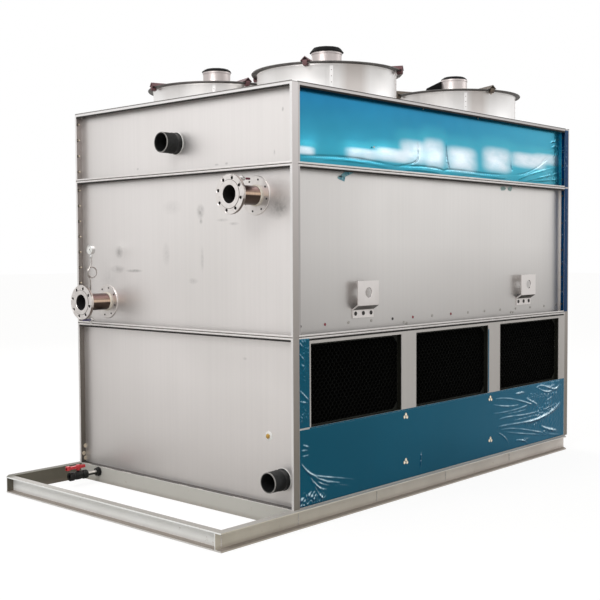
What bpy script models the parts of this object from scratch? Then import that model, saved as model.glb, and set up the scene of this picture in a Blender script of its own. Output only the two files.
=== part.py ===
"""Closed-circuit cooling tower: a sheet-metal casing of tray panels in three storeys,
four roof fans, air inlets along both long sides and a skid of steel channels that
runs out past the pipe end.

Metres, +Z up. X runs along the tower with the pipe end at -X, the front is at -Y,
and the origin is at the bottom centre of the skid.
"""
import math

import bmesh
import bpy
from mathutils import Matrix, Vector

# Clearances
GAP = 0.0003
OVERCUT = 0.01
WELD = 0.00001
TIP_CLEARANCE = 0.015
HANDLE_CLEARANCE = 0.006

# Facets round the turned pieces
FLANGE_FACETS = 48
PIPE_FACETS = 40
ROUND_FACETS = 32
FITTING_FACETS = 24
SMALL_FACETS = 12
NUT_FACETS = 6

# Skid of channels
CHANNEL_H = 0.100
CHANNEL_FLANGE = 0.050
CHANNEL_WEB_T = 0.006
CHANNEL_FLANGE_T = 0.008
BAY_LENGTH = 0.567
SKID_OVERHANG = 0.029
SKID_FAR_INSET = 0.026
FLANGE_CHAMFER = 0.042

# Casing
CASING_LENGTH = 3.086
CASING_WIDTH = 1.956
LOWER_STOREY_H = 0.943
COIL_STOREY_H = 0.939
FAN_STOREY_H = 0.438
SHEET_T = 0.003
TRAY_DEPTH = 0.050
SIDE_LIP = 0.014
TOP_LIP = 0.017

# Air inlets in the long sides
BASIN_PANEL_H = 0.430
INLET_COUNT = 3
INLET_POST = 0.153
INLET_END_STRIP = 0.0947
INLET_SILL = 0.010
INLET_HEADER = 0.040
INLET_FRAME_DEPTH = 0.030
LOUVRE_T = 0.080
LOUVRE_CELLS = 27
LOUVRE_CELL_DEPTH = 0.050
LOUVRE_RIB = 0.008
LOUVRE_EDGE = 0.012

# Drift eliminator bed under the fans
ELIMINATOR_T = 0.120
ELIMINATOR_DROP = 0.300
ELIMINATOR_BLADES = 47
ELIMINATOR_BLADE_H = 0.060
ELIMINATOR_BLADE_T = 0.008

# Fans
FAN_SPACING = 1.410
FAN_ROW_GAP = 0.062
RIM_INSET = 0.007
RIM_WIDTH = 0.037
RIM_T = 0.004
COWL_T = 0.003
COWL_HEIGHT = 0.192
COWL_FACETS = 64
DECK_LEDGE = 0.008
HUB_RADIUS = 0.085
HUB_HEIGHT = 0.090
ROTOR_DROP = 0.060
BLADE_COUNT = 6
BLADE_CHORD = 0.120
BLADE_T = 0.006
BLADE_PITCH = 28.0
SHAFT_RADIUS = 0.014
MOTOR_RADIUS = 0.096
MOTOR_FOOT_RADIUS = 0.112
MOTOR_FOOT_T = 0.012
MOTOR_BODY_H = 0.128
MOTOR_CAP_RADIUS = 0.106
MOTOR_CAP_H = 0.031
MOTOR_CAP_CHAMFER = 0.020
ARM_COUNT = 4
ARM_LEG = 0.040
ARM_T = 0.004
ARM_OVERHANG = 0.012
ARM_ANGLES = {"1": 25.5, "2": 67.0, "3": 72.0, "4": 45.0}

# Flanged nozzles in the pipe end, as DN100
NOZZLE_REACH = 0.210
PIPE_RADIUS = 0.054
PIPE_BORE_RADIUS = 0.050
FLANGE_RADIUS = 0.110
FLANGE_T = 0.020
RAISED_FACE_RADIUS = 0.079
RAISED_FACE_T = 0.002
BOLT_CIRCLE_RADIUS = 0.090
BOLT_HOLE_RADIUS = 0.009
BOLT_HOLES = 8
BOLT_RING_TURN = 14.0
WALL_PLATE_T = 0.006
UPPER_NOZZLE_INSET = 0.318
UPPER_NOZZLE_DROP = 0.159
LOWER_NOZZLE_INSET = 0.264
LOWER_NOZZLE_RISE = 0.148

# Plastic pipe stubs in the pipe end
STUB_REACH = 0.120
UPPER_STUB_RADIUS = 0.0615
LOWER_STUB_RADIUS = 0.058
STUB_WALL = 0.008
STUB_COLLAR = 0.004
STUB_COLLAR_T = 0.006
UPPER_STUB_OFFSET = 0.017
UPPER_STUB_RISE = 0.180
LOWER_STUB_INSET = 0.123
LOWER_STUB_RISE = 0.148

# Pressure gauge on the lower nozzle
GAUGE_OUT = 0.133
GAUGE_TUBE_RADIUS = 0.004
SIPHON_RADIUS = 0.034
SIPHON_RISE = 0.137
SIPHON_SHIFT = 0.011
SIPHON_FACETS = 24
GAUGE_STEM_RISE = 0.252
DIAL_RADIUS = 0.030
DIAL_DEPTH = 0.028
GAUGE_NUT_RADIUS = 0.009
GAUGE_NUT_H = 0.026

# Small cocks on the nozzles
COCK_OUT = 0.115
COCK_STEM_RADIUS = 0.007
COCK_BODY_RADIUS = 0.014
COCK_BODY_LENGTH = 0.040
COCK_LEVER_LENGTH = 0.070
COCK_LEVER_WIDTH = 0.012
COCK_LEVER_T = 0.005
COCK_BODY_SHARE = 0.7
VENT_RISE = 0.050
DRAIN_DROP = 0.085

# Basin drain with its ball valve
DRAIN_INSET = 0.209
DRAIN_DEPTH = 0.030
DRAIN_PIPE_RADIUS = 0.014
DRAIN_NUT_RADIUS = 0.031
DRAIN_NUT_T = 0.024
VALVE_BODY_RADIUS = 0.028
VALVE_BODY_LENGTH = 0.132
VALVE_OUT = 0.098
VALVE_BORE_RADIUS = 0.012
VALVE_STEM_RADIUS = 0.008
HANDLE_LENGTH = 0.142
HANDLE_WIDTH = 0.026
HANDLE_T = 0.014
HANDLE_SHIFT = 0.018

# Lifting lugs
LUG_X = (-0.887, 0.953)
LUG_WIDTH = 0.196
LUG_T = 0.006
LUG_RISE = 0.076
LUG_FOOT_H = 0.053
LUG_STEP_H = 0.026
LUG_PLATE_H = 0.140
LUG_STANDOFF = 0.041
LUG_HOLE_RADIUS = 0.030
LUG_BOLT_PITCH = 0.072
LUG_BOLT_RADIUS = 0.009

# Places worked out from the sizes above
SKID_LENGTH = CASING_LENGTH + BAY_LENGTH
SKID_WIDTH = CASING_WIDTH + 2 * SKID_OVERHANG
CASING_X = BAY_LENGTH / 2
PIPE_END_X = CASING_X - CASING_LENGTH / 2
FAR_END_X = CASING_X + CASING_LENGTH / 2
HALF_WIDTH = CASING_WIDTH / 2
LOWER_TOP = CHANNEL_H + LOWER_STOREY_H
COIL_TOP = LOWER_TOP + COIL_STOREY_H
ROOF = COIL_TOP + FAN_STOREY_H
DECK_UNDER = ROOF - SHEET_T
INNER_HALF_X = CASING_LENGTH / 2 - TRAY_DEPTH
PANEL_LENGTH = 2 * (INNER_HALF_X - GAP)
PIPE_SHEET_X = PIPE_END_X + TRAY_DEPTH - SHEET_T
INLET_WIDTH = (PANEL_LENGTH - 2 * INLET_END_STRIP - (INLET_COUNT - 1) * INLET_POST) / INLET_COUNT
RIM_RADIUS = (CASING_WIDTH - FAN_ROW_GAP - 2 * RIM_INSET) / 4
COWL_RADIUS = RIM_RADIUS - RIM_WIDTH
DECK_HOLE_RADIUS = COWL_RADIUS - COWL_T - DECK_LEDGE
FAN_Y = HALF_WIDTH - RIM_INSET - RIM_RADIUS
RIM_TOP = ROOF + COWL_HEIGHT
UPPER_NOZZLE = (UPPER_NOZZLE_INSET - HALF_WIDTH, COIL_TOP - UPPER_NOZZLE_DROP)
LOWER_NOZZLE = (HALF_WIDTH - LOWER_NOZZLE_INSET, LOWER_TOP + LOWER_NOZZLE_RISE)
UPPER_STUB = (UPPER_STUB_OFFSET, COIL_TOP + UPPER_STUB_RISE)
LOWER_STUB = (LOWER_STUB_INSET - HALF_WIDTH, CHANNEL_H + LOWER_STUB_RISE)
DRAIN_Y = HALF_WIDTH - DRAIN_INSET

SMOOTH_ANGLE = math.radians(35.0)

FINISHES = {
    "skid_steel": ((0.42, 0.40, 0.36), 0.55, 0.6),
    "casing_sheet": ((0.62, 0.61, 0.60), 0.32, 0.9),
    "inlet_black": ((0.012, 0.012, 0.011), 0.6, 0.0),
    "eliminator_dark": ((0.03, 0.03, 0.032), 0.6, 0.0),
    "fan_metal": ((0.66, 0.65, 0.65), 0.3, 0.9),
    "motor_metal": ((0.6, 0.58, 0.56), 0.35, 0.8),
    "nozzle_steel": ((0.6, 0.56, 0.52), 0.3, 0.9),
    "stub_plastic": ((0.03, 0.03, 0.03), 0.45, 0.0),
    "gauge_steel": ((0.6, 0.6, 0.6), 0.25, 0.9),
    "valve_black": ((0.02, 0.02, 0.02), 0.4, 0.0),
    "handle_red": ((0.55, 0.03, 0.04), 0.4, 0.0),
}


def clear_scene():
    for thing in list(bpy.data.objects):
        bpy.data.objects.remove(thing, do_unlink=True)


def new_collection(name):
    collection = bpy.data.collections.new(name)
    bpy.context.scene.collection.children.link(collection)
    return collection


def make_materials():
    materials = {}
    for name, (colour, roughness, metallic) in FINISHES.items():
        material = bpy.data.materials.new(name)
        material.use_nodes = True
        shader = material.node_tree.nodes["Principled BSDF"]
        shader.inputs["Base Color"].default_value = (*colour, 1.0)
        shader.inputs["Roughness"].default_value = roughness
        shader.inputs["Metallic"].default_value = metallic
        materials[name] = material
    return materials


clear_scene()
PARTS = new_collection("cooling_tower")
CUTTERS = new_collection("cutters")
MATERIALS = make_materials()


# Shapes
def add_object(name, mesh, finish=None, location=(0, 0, 0), turn=0.0):
    """A part when it has a finish, otherwise a cutter or a piece to be joined."""
    thing = bpy.data.objects.new(name, mesh)
    thing.location = location
    thing.rotation_euler = (0, 0, math.radians(turn))
    if finish is None:
        CUTTERS.objects.link(thing)
        thing.hide_render = True
        thing.display_type = 'WIRE'
    else:
        PARTS.objects.link(thing)
        mesh.materials.append(MATERIALS[finish])
    return thing


def box_mesh(name, low, high):
    low = Vector(low)
    high = Vector(high)
    shape = bmesh.new()
    bmesh.ops.create_cube(shape, size=1.0)
    size = high - low
    bmesh.ops.scale(shape, vec=size, verts=shape.verts)
    bmesh.ops.translate(shape, vec=(low + high) / 2, verts=shape.verts)
    mesh = bpy.data.meshes.new(name)
    shape.to_mesh(mesh)
    shape.free()
    return mesh


def box(name, low, high, finish=None, location=(0, 0, 0), turn=0.0):
    return add_object(name, box_mesh(name, low, high), finish, location, turn)


AXIS_TURNS = {
    "X": Matrix.Rotation(math.pi / 2, 4, 'Y'),
    "Y": Matrix.Rotation(-math.pi / 2, 4, 'X'),
    "Z": Matrix.Identity(4),
}


def add_rod(shape, start, length, axis, radius, end_radius, segments):
    """A cylinder or cone from start along +axis, added to an open bmesh."""
    turn = AXIS_TURNS[axis]
    centre = Vector(start) + turn @ Vector((0, 0, length / 2))
    bmesh.ops.create_cone(shape, cap_ends=True, segments=segments, radius1=radius,
                          radius2=end_radius, depth=length,
                          matrix=Matrix.Translation(centre) @ turn)


def rod(name, start, length, axis, radius, finish=None, end_radius=None,
        segments=ROUND_FACETS):
    shape = bmesh.new()
    far_radius = radius if end_radius is None else end_radius
    add_rod(shape, start, length, axis, radius, far_radius, segments)
    mesh = bpy.data.meshes.new(name)
    shape.to_mesh(mesh)
    shape.free()
    smooth(mesh)
    return add_object(name, mesh, finish)


def box_set(name, spans, location=(0, 0, 0), turn=0.0):
    """Boxes side by side, as one cutter."""
    whole = bmesh.new()
    for low, high in spans:
        whole.from_mesh(box_mesh(name, low, high))
    mesh = bpy.data.meshes.new(name)
    whole.to_mesh(mesh)
    whole.free()
    return add_object(name, mesh, None, location, turn)


def angle_iron(name, start, end, leg, thickness, location, turn):
    """An equal angle along X from start to end, its ridge up and its toes at z 0."""
    spread = leg / math.sqrt(2)
    inner = spread - thickness * math.sqrt(2)
    outline = [(-spread, 0), (0, spread), (spread, 0), (inner, 0), (0, inner), (-inner, 0)]
    shape = bmesh.new()
    ends = [[shape.verts.new((x, y, z)) for y, z in outline] for x in (start, end)]
    for i in range(len(outline)):
        after = (i + 1) % len(outline)
        shape.faces.new((ends[0][i], ends[0][after], ends[1][after], ends[1][i]))
    for corners in ends:
        shape.faces.new((corners[0], corners[1], corners[4], corners[5]))
        shape.faces.new((corners[1], corners[2], corners[3], corners[4]))
    bmesh.ops.recalc_face_normals(shape, faces=shape.faces)
    mesh = bpy.data.meshes.new(name)
    shape.to_mesh(mesh)
    shape.free()
    return add_object(name, mesh, None, location, turn)


def rod_set(name, starts, length, axis, radius, segments=SMALL_FACETS):
    """Like rods side by side, as one cutter."""
    shape = bmesh.new()
    for start in starts:
        add_rod(shape, start, length, axis, radius, radius, segments)
    mesh = bpy.data.meshes.new(name)
    shape.to_mesh(mesh)
    shape.free()
    return add_object(name, mesh)


def smooth(mesh):
    mesh.shade_smooth()
    mesh.set_sharp_from_angle(angle=SMOOTH_ANGLE)


def turned(name, profile, finish, location, segments):
    """A ring turned about Z from a closed profile of (radius, height) points."""
    mesh = bpy.data.meshes.new(name)
    points = [(radius, 0.0, height) for radius, height in profile]
    edges = [(i, (i + 1) % len(points)) for i in range(len(points))]
    mesh.from_pydata(points, edges, [])
    ring = add_object(name, mesh, finish, location)
    screw = ring.modifiers.new("turn", 'SCREW')
    screw.axis = 'Z'
    screw.steps = segments
    screw.render_steps = segments
    screw.use_merge_vertices = True
    screw.merge_threshold = WELD
    screw.use_smooth_shade = True
    return ring


def extruded(name, outline, width, finish):
    """A flat outline of (y, z) points, given width along X about the origin."""
    curve = bpy.data.curves.new(name, 'CURVE')
    curve.dimensions = '2D'
    curve.fill_mode = 'BOTH'
    curve.extrude = width / 2
    spline = curve.splines.new('POLY')
    spline.points.add(len(outline) - 1)
    for point, (y, z) in zip(spline.points, outline):
        point.co = (y, z, 0, 1)
    spline.use_cyclic_u = True
    return solid_from_curve(name, curve, finish)


def tube(name, path, radius, finish):
    curve = bpy.data.curves.new(name, 'CURVE')
    curve.dimensions = '3D'
    curve.bevel_depth = radius
    curve.bevel_resolution = 2
    curve.use_fill_caps = True
    spline = curve.splines.new('POLY')
    spline.points.add(len(path) - 1)
    for point, place in zip(spline.points, path):
        point.co = (*place, 1)
    return solid_from_curve(name, curve, finish)


def solid_from_curve(name, curve, finish):
    """A curve's surface as a welded mesh object, so that it can be cut and joined."""
    guide = add_object(name + "_guide", curve)
    bpy.context.view_layer.update()
    evaluated = guide.evaluated_get(bpy.context.evaluated_depsgraph_get())
    mesh = bpy.data.meshes.new_from_object(evaluated)
    mesh.name = name
    bpy.data.objects.remove(guide, do_unlink=True)
    shape = bmesh.new()
    shape.from_mesh(mesh)
    bmesh.ops.remove_doubles(shape, verts=shape.verts, dist=WELD)
    bmesh.ops.recalc_face_normals(shape, faces=shape.faces)
    shape.to_mesh(mesh)
    shape.free()
    return add_object(name, mesh, finish)


def boolean(thing, other, operation):
    modifier = thing.modifiers.new(other.name, 'BOOLEAN')
    modifier.operation = operation
    modifier.solver = 'EXACT'
    modifier.object = other


def cut(thing, *cutters):
    for cutter in cutters:
        boolean(thing, cutter, 'DIFFERENCE')
    return thing


def join(thing, *pieces):
    for piece in pieces:
        boolean(thing, piece, 'UNION')
    return thing


# Skid
def channel(name, length, location, turn):
    """A channel along local X, its back at local y=0 and its flanges towards -Y."""
    half = length / 2
    beam = box(name, (-half, -CHANNEL_FLANGE, 0), (half, 0, CHANNEL_H), "skid_steel",
               location, turn)
    recess = box(name + "_recess",
                 (-half - OVERCUT, -CHANNEL_FLANGE - OVERCUT, CHANNEL_FLANGE_T),
                 (half + OVERCUT, -CHANNEL_WEB_T, CHANNEL_H - CHANNEL_FLANGE_T),
                 None, location, turn)
    return cut(beam, recess)


def corner_cut(name, x, y):
    """A cutter that takes the corner off a side channel's flanges at 45 degrees."""
    half = FLANGE_CHAMFER / math.sqrt(2)
    turn = 45 if x * y > 0 else -45
    return box(name, (-half, -FLANGE_CHAMFER, -OVERCUT),
               (half, FLANGE_CHAMFER, CHANNEL_H + OVERCUT), None, (x, y, 0), turn)


def make_skid():
    back = SKID_WIDTH / 2 - CHANNEL_FLANGE
    between = 2 * (back - GAP)
    far = SKID_LENGTH / 2 - SKID_FAR_INSET
    near = SKID_LENGTH / 2
    length = near + far
    middle = (far - near) / 2
    front_side = channel("skid_side_front", length, (middle, -back, 0), 0)
    back_side = channel("skid_side_back", length, (middle, back, 0), 180)
    cut(front_side, corner_cut("front_far_corner", far, -SKID_WIDTH / 2))
    cut(back_side, corner_cut("back_far_corner", far, SKID_WIDTH / 2),
        corner_cut("back_near_corner", -near, SKID_WIDTH / 2))
    channel("skid_end_pipe_side", between, (CHANNEL_FLANGE - near, 0, 0), -90)
    channel("skid_end_far_side", between, (far - CHANNEL_FLANGE, 0, 0), 90)
    channel("skid_cross_beam", between, (PIPE_END_X, 0, 0), 90)
    channel("skid_middle_beam", between, (CASING_X, 0, 0), 90)


# Casing panels
def tray(name, length, height, location, turn):
    """A sheet set back behind outward edge flanges, with lips at its top and sides.

    Local x runs along it, the face looks to -Y, and y=0 is the flanges' outer edge.
    """
    half = length / 2
    panel = box(name, (-half, 0, 0), (half, TRAY_DEPTH, height), "casing_sheet",
                location, turn)
    hollow = box(name + "_hollow",
                 (-half + SHEET_T, SHEET_T, SHEET_T),
                 (half - SHEET_T, TRAY_DEPTH - SHEET_T, height - SHEET_T),
                 None, location, turn)
    mouth = box(name + "_mouth",
                (-half + SIDE_LIP, -OVERCUT, SHEET_T),
                (half - SIDE_LIP, 2 * SHEET_T, height - TOP_LIP),
                None, location, turn)
    return cut(panel, hollow, mouth)


def pan(name, length, height, location, turn):
    """A flush sheet with its edges folded inwards. The sheet's face is local y=0."""
    half = length / 2
    panel = box(name, (-half, 0, 0), (half, TRAY_DEPTH, height), "casing_sheet",
                location, turn)
    hollow = box(name + "_hollow",
                 (-half + SHEET_T, SHEET_T, SHEET_T),
                 (half - SHEET_T, TRAY_DEPTH + OVERCUT, height - SHEET_T),
                 None, location, turn)
    return cut(panel, hollow)


STOREYS = (
    ("lower", CHANNEL_H + GAP, LOWER_TOP - GAP),
    ("coil", LOWER_TOP, COIL_TOP - GAP),
    ("fan", COIL_TOP, DECK_UNDER - GAP),
)


def pipe_hole(name, place, radius):
    """A cutter through the pipe end's sheet at (y, z)."""
    start = (PIPE_SHEET_X - OVERCUT, *place)
    return rod(name, start, SHEET_T + 2 * OVERCUT, "X", radius)


def make_end_panels():
    for storey, low, high in STOREYS:
        near = tray("end_panel_pipe_" + storey, CASING_WIDTH, high - low,
                    (PIPE_END_X, 0, low), -90)
        tray("end_panel_far_" + storey, CASING_WIDTH, high - low, (FAR_END_X, 0, low), 90)
        if storey == "lower":
            cut(near, pipe_hole("lower_stub_hole", LOWER_STUB, LOWER_STUB_RADIUS - STUB_WALL))
        if storey == "coil":
            cut(near, pipe_hole("upper_nozzle_hole", UPPER_NOZZLE, PIPE_BORE_RADIUS))
            cut(near, pipe_hole("lower_nozzle_hole", LOWER_NOZZLE, PIPE_BORE_RADIUS))
        if storey == "fan":
            cut(near, pipe_hole("upper_stub_hole", UPPER_STUB, UPPER_STUB_RADIUS - STUB_WALL))


def make_side_panels():
    for side, sign, turn in (("front", -1, 0), ("back", 1, 180)):
        place = (CASING_X, sign * HALF_WIDTH)
        for storey, low, high in STOREYS[1:]:
            tray(f"{side}_panel_{storey}", PANEL_LENGTH, high - low, (*place, low), turn)
        basin_low = CHANNEL_H + GAP
        basin_top = CHANNEL_H + BASIN_PANEL_H
        pan(f"{side}_basin_panel", PANEL_LENGTH, basin_top - basin_low,
            (*place, basin_low), turn)
        make_inlet(side, place, basin_top + GAP, turn)


def inlet_centres():
    middle = (INLET_COUNT - 1) / 2
    pitch = INLET_WIDTH + INLET_POST
    return [(i - middle) * pitch for i in range(INLET_COUNT)]


def make_inlet(side, place, low, turn):
    """The frame round the air inlets, and the black inlet louvre behind it."""
    name = f"{side}_inlet_frame"
    height = LOWER_TOP - GAP - low
    half = PANEL_LENGTH / 2
    base = (*place, low)
    frame = box(name, (-half, 0, 0), (half, INLET_FRAME_DEPTH, height), "casing_sheet",
                base, turn)
    hollow = box(name + "_hollow", (-half + SHEET_T, SHEET_T, SHEET_T),
                 (half - SHEET_T, INLET_FRAME_DEPTH + OVERCUT, height - SHEET_T),
                 None, base, turn)
    cut(frame, hollow)
    reach = INLET_WIDTH / 2
    top = height - INLET_HEADER
    for number, x in enumerate(inlet_centres(), 1):
        jamb = box(f"{name}_jamb_{number}",
                   (x - reach - SHEET_T, SHEET_T / 2, INLET_SILL - SHEET_T),
                   (x + reach + SHEET_T, INLET_FRAME_DEPTH, top + SHEET_T), None, base, turn)
        hole = box(f"{name}_hole_{number}", (x - reach, -OVERCUT, INLET_SILL),
                   (x + reach, INLET_FRAME_DEPTH + OVERCUT, top), None, base, turn)
        join(frame, jamb)
        cut(frame, hole)
    make_louvre(side, half - SHEET_T, height, base, turn)


def make_louvre(side, half, height, base, turn):
    """The louvre's back, and the main upright ribs between its cells."""
    name = f"{side}_inlet_louvre"
    back = INLET_FRAME_DEPTH + GAP
    louvre = box(name, (-half, back, 0), (half, back + LOUVRE_T, height), "inlet_black",
                 base, turn)
    pitch = 2 * half / LOUVRE_CELLS
    cells = []
    for cell in range(LOUVRE_CELLS):
        left = -half + pitch * cell + LOUVRE_RIB / 2
        cells.append(((left, back - OVERCUT, LOUVRE_EDGE),
                      (left + pitch - LOUVRE_RIB, back + LOUVRE_CELL_DEPTH,
                       height - LOUVRE_EDGE)))
    cut(louvre, box_set(name + "_cells", cells, base, turn))


def make_floor_and_roof():
    inner_y = HALF_WIDTH - TRAY_DEPTH - GAP
    inner_x = INNER_HALF_X - GAP
    floor_low = CHANNEL_H + GAP
    box("basin_floor", (CASING_X - inner_x, -inner_y, floor_low),
        (CASING_X + inner_x, inner_y, floor_low + SHEET_T), "casing_sheet")
    make_eliminator(inner_x, inner_y)
    deck = box("roof_deck", (PIPE_END_X, -HALF_WIDTH, DECK_UNDER),
               (FAR_END_X, HALF_WIDTH, ROOF), "casing_sheet")
    for number, x, y in fan_places():
        cut(deck, rod("deck_hole_" + number, (x, y, DECK_UNDER - OVERCUT),
                      SHEET_T + 2 * OVERCUT, "Z", DECK_HOLE_RADIUS, segments=COWL_FACETS))


def make_eliminator(inner_x, inner_y):
    """The bed with the upper ends of its blades standing clear."""
    top = ROOF - ELIMINATOR_DROP
    bed = box("drift_eliminator", (CASING_X - inner_x, -inner_y, top - ELIMINATOR_T),
              (CASING_X + inner_x, inner_y, top), "eliminator_dark")
    pitch = (2 * inner_x - ELIMINATOR_BLADE_T) / (ELIMINATOR_BLADES - 1)
    gaps = []
    for blade in range(ELIMINATOR_BLADES - 1):
        left = CASING_X - inner_x + ELIMINATOR_BLADE_T + pitch * blade
        gaps.append(((left, -inner_y - OVERCUT, top - ELIMINATOR_BLADE_H),
                     (left + pitch - ELIMINATOR_BLADE_T, inner_y + OVERCUT, top + OVERCUT)))
    cut(bed, box_set("eliminator_gaps", gaps))


# Fans
def fan_places():
    """Fans 1 and 2 stand along the front, 3 and 4 along the back."""
    places = []
    for row, y in enumerate((-FAN_Y, FAN_Y)):
        for column, x in enumerate((-FAN_SPACING / 2, FAN_SPACING / 2)):
            places.append((str(2 * row + column + 1), CASING_X + x, y))
    return places


def make_cowl(number, x, y):
    inner = COWL_RADIUS - COWL_T
    rim_under = COWL_HEIGHT - RIM_T
    profile = [(inner, COWL_HEIGHT), (RIM_RADIUS, COWL_HEIGHT), (RIM_RADIUS, rim_under),
               (COWL_RADIUS, rim_under), (COWL_RADIUS, GAP), (inner, GAP)]
    turned("fan_cowl_" + number, profile, "fan_metal", (x, y, ROOF), COWL_FACETS)


def make_motor(number, x, y):
    """The motor on its four steel angles, which lie across the cowl's rim."""
    seat = RIM_TOP + GAP
    name = "fan_motor_" + number
    motor = rod(name, (x, y, seat), MOTOR_FOOT_T, "Z", MOTOR_FOOT_RADIUS, "motor_metal")
    body = rod(name + "_body", (x, y, seat + MOTOR_FOOT_T / 2), MOTOR_BODY_H, "Z",
               MOTOR_RADIUS)
    cap = rod(name + "_cap", (x, y, seat + MOTOR_BODY_H), MOTOR_CAP_H, "Z",
              MOTOR_CAP_RADIUS, end_radius=MOTOR_CAP_RADIUS - MOTOR_CAP_CHAMFER,
              segments=SMALL_FACETS)
    join(motor, body, cap)
    inner = MOTOR_FOOT_RADIUS / 2
    reach = RIM_RADIUS + ARM_OVERHANG
    for arm in range(ARM_COUNT):
        turn = ARM_ANGLES[number] + 360 * arm / ARM_COUNT
        join(motor, angle_iron(f"{name}_arm_{arm}", inner, reach, ARM_LEG, ARM_T,
                               (x, y, seat), turn))


def make_rotor(number, x, y):
    """Hub, pitched blades and shaft. Its origin is on the shaft's axis."""
    hub_top = RIM_TOP - ROTOR_DROP
    hub_low = hub_top - HUB_HEIGHT
    name = "fan_rotor_" + number
    mesh = rod(name, (0, 0, hub_low), HUB_HEIGHT, "Z", HUB_RADIUS, "fan_metal",
               segments=FITTING_FACETS)
    mesh.location = (x, y, 0)
    shaft = rod(name + "_shaft", (x, y, hub_top - HUB_HEIGHT / 2),
                RIM_TOP - hub_top + HUB_HEIGHT / 2, "Z", SHAFT_RADIUS, segments=SMALL_FACETS)
    join(mesh, shaft)
    tip = DECK_HOLE_RADIUS - TIP_CLEARANCE
    root = HUB_RADIUS / 2
    for blade in range(BLADE_COUNT):
        wing = box(f"{name}_blade_{blade}", (root, -BLADE_CHORD / 2, -BLADE_T / 2),
                   (tip, BLADE_CHORD / 2, BLADE_T / 2))
        wing.rotation_euler = (math.radians(BLADE_PITCH), 0,
                               2 * math.pi * blade / BLADE_COUNT)
        wing.location = (x, y, hub_low + HUB_HEIGHT / 2)
        join(mesh, wing)


def make_fans():
    for number, x, y in fan_places():
        make_cowl(number, x, y)
        make_motor(number, x, y)
        make_rotor(number, x, y)


# Pipe connections
def ring_of_holes(name, x, y, z):
    starts = []
    for i in range(BOLT_HOLES):
        angle = math.radians(BOLT_RING_TURN) + 2 * math.pi * i / BOLT_HOLES
        starts.append((x - OVERCUT, y + BOLT_CIRCLE_RADIUS * math.cos(angle),
                       z + BOLT_CIRCLE_RADIUS * math.sin(angle)))
    return rod_set(name, starts, FLANGE_T + 2 * OVERCUT, "X", BOLT_HOLE_RADIUS)


def make_nozzle(name, place):
    """A wall plate on the sheet, a pipe out of it and a drilled flange on its end."""
    y, height = place
    seat = PIPE_SHEET_X - GAP
    face = PIPE_SHEET_X - NOZZLE_REACH
    flange_x = face + RAISED_FACE_T
    plate = rod(name, (seat - WALL_PLATE_T, y, height), WALL_PLATE_T, "X",
                FLANGE_RADIUS, "nozzle_steel", segments=FLANGE_FACETS)
    pipe = rod(name + "_pipe", (flange_x, y, height), seat - flange_x, "X", PIPE_RADIUS,
               segments=PIPE_FACETS)
    flange = rod(name + "_flange", (flange_x, y, height), FLANGE_T, "X", FLANGE_RADIUS,
                 segments=FLANGE_FACETS)
    raised = rod(name + "_raised", (face, y, height), RAISED_FACE_T + FLANGE_T / 2, "X",
                 RAISED_FACE_RADIUS, segments=PIPE_FACETS)
    bore = rod(name + "_bore", (face - OVERCUT, y, height),
               NOZZLE_REACH + 2 * OVERCUT, "X", PIPE_BORE_RADIUS)
    join(plate, pipe, flange, raised)
    cut(plate, ring_of_holes(name + "_holes", flange_x, y, height), bore)


def make_stub(name, place, radius):
    """A plastic socket that stands out of the sheet, with a collar at its root."""
    seat = PIPE_SHEET_X - GAP
    mouth = PIPE_SHEET_X - STUB_REACH
    stub = rod(name, (mouth, *place), seat - mouth, "X", radius, "stub_plastic",
               segments=PIPE_FACETS)
    collar = rod(name + "_collar", (seat - STUB_COLLAR_T, *place), STUB_COLLAR_T, "X",
                 radius + STUB_COLLAR, segments=PIPE_FACETS)
    bore = rod(name + "_bore", (mouth - OVERCUT, *place), STUB_REACH + 2 * OVERCUT, "X",
               radius - STUB_WALL)
    join(stub, collar)
    cut(stub, bore)


def siphon_path(x, y, foot):
    """Up from the pipe, once round a loop beside the tube, and up to the dial."""
    centre_z = foot + SIPHON_RISE
    points = [(x, y, foot)]
    for i in range(SIPHON_FACETS + 1):
        share = i / SIPHON_FACETS
        angle = math.pi - 2 * math.pi * share
        points.append((x + SIPHON_RADIUS * (1 + math.cos(angle)),
                       y - SIPHON_SHIFT * share,
                       centre_z + SIPHON_RADIUS * math.sin(angle)))
    points.append((x, y - SIPHON_SHIFT, foot + GAUGE_STEM_RISE))
    return points


def make_gauge():
    x = PIPE_SHEET_X - GAUGE_OUT
    y, pipe_z = LOWER_NOZZLE
    foot = pipe_z + PIPE_RADIUS + GAP
    gauge = tube("pressure_gauge", siphon_path(x, y, foot), GAUGE_TUBE_RADIUS,
                 "gauge_steel")
    top = foot + GAUGE_STEM_RISE
    stem_y = y - SIPHON_SHIFT
    nut = rod("gauge_nut", (x, stem_y, top - GAUGE_NUT_H), GAUGE_NUT_H + GAUGE_NUT_RADIUS,
              "Z", GAUGE_NUT_RADIUS, segments=NUT_FACETS)
    dial = rod("gauge_dial", (x - DIAL_DEPTH / 2, stem_y, top + DIAL_RADIUS), DIAL_DEPTH,
               "X", DIAL_RADIUS, segments=ROUND_FACETS)
    join(gauge, nut, dial)


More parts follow.
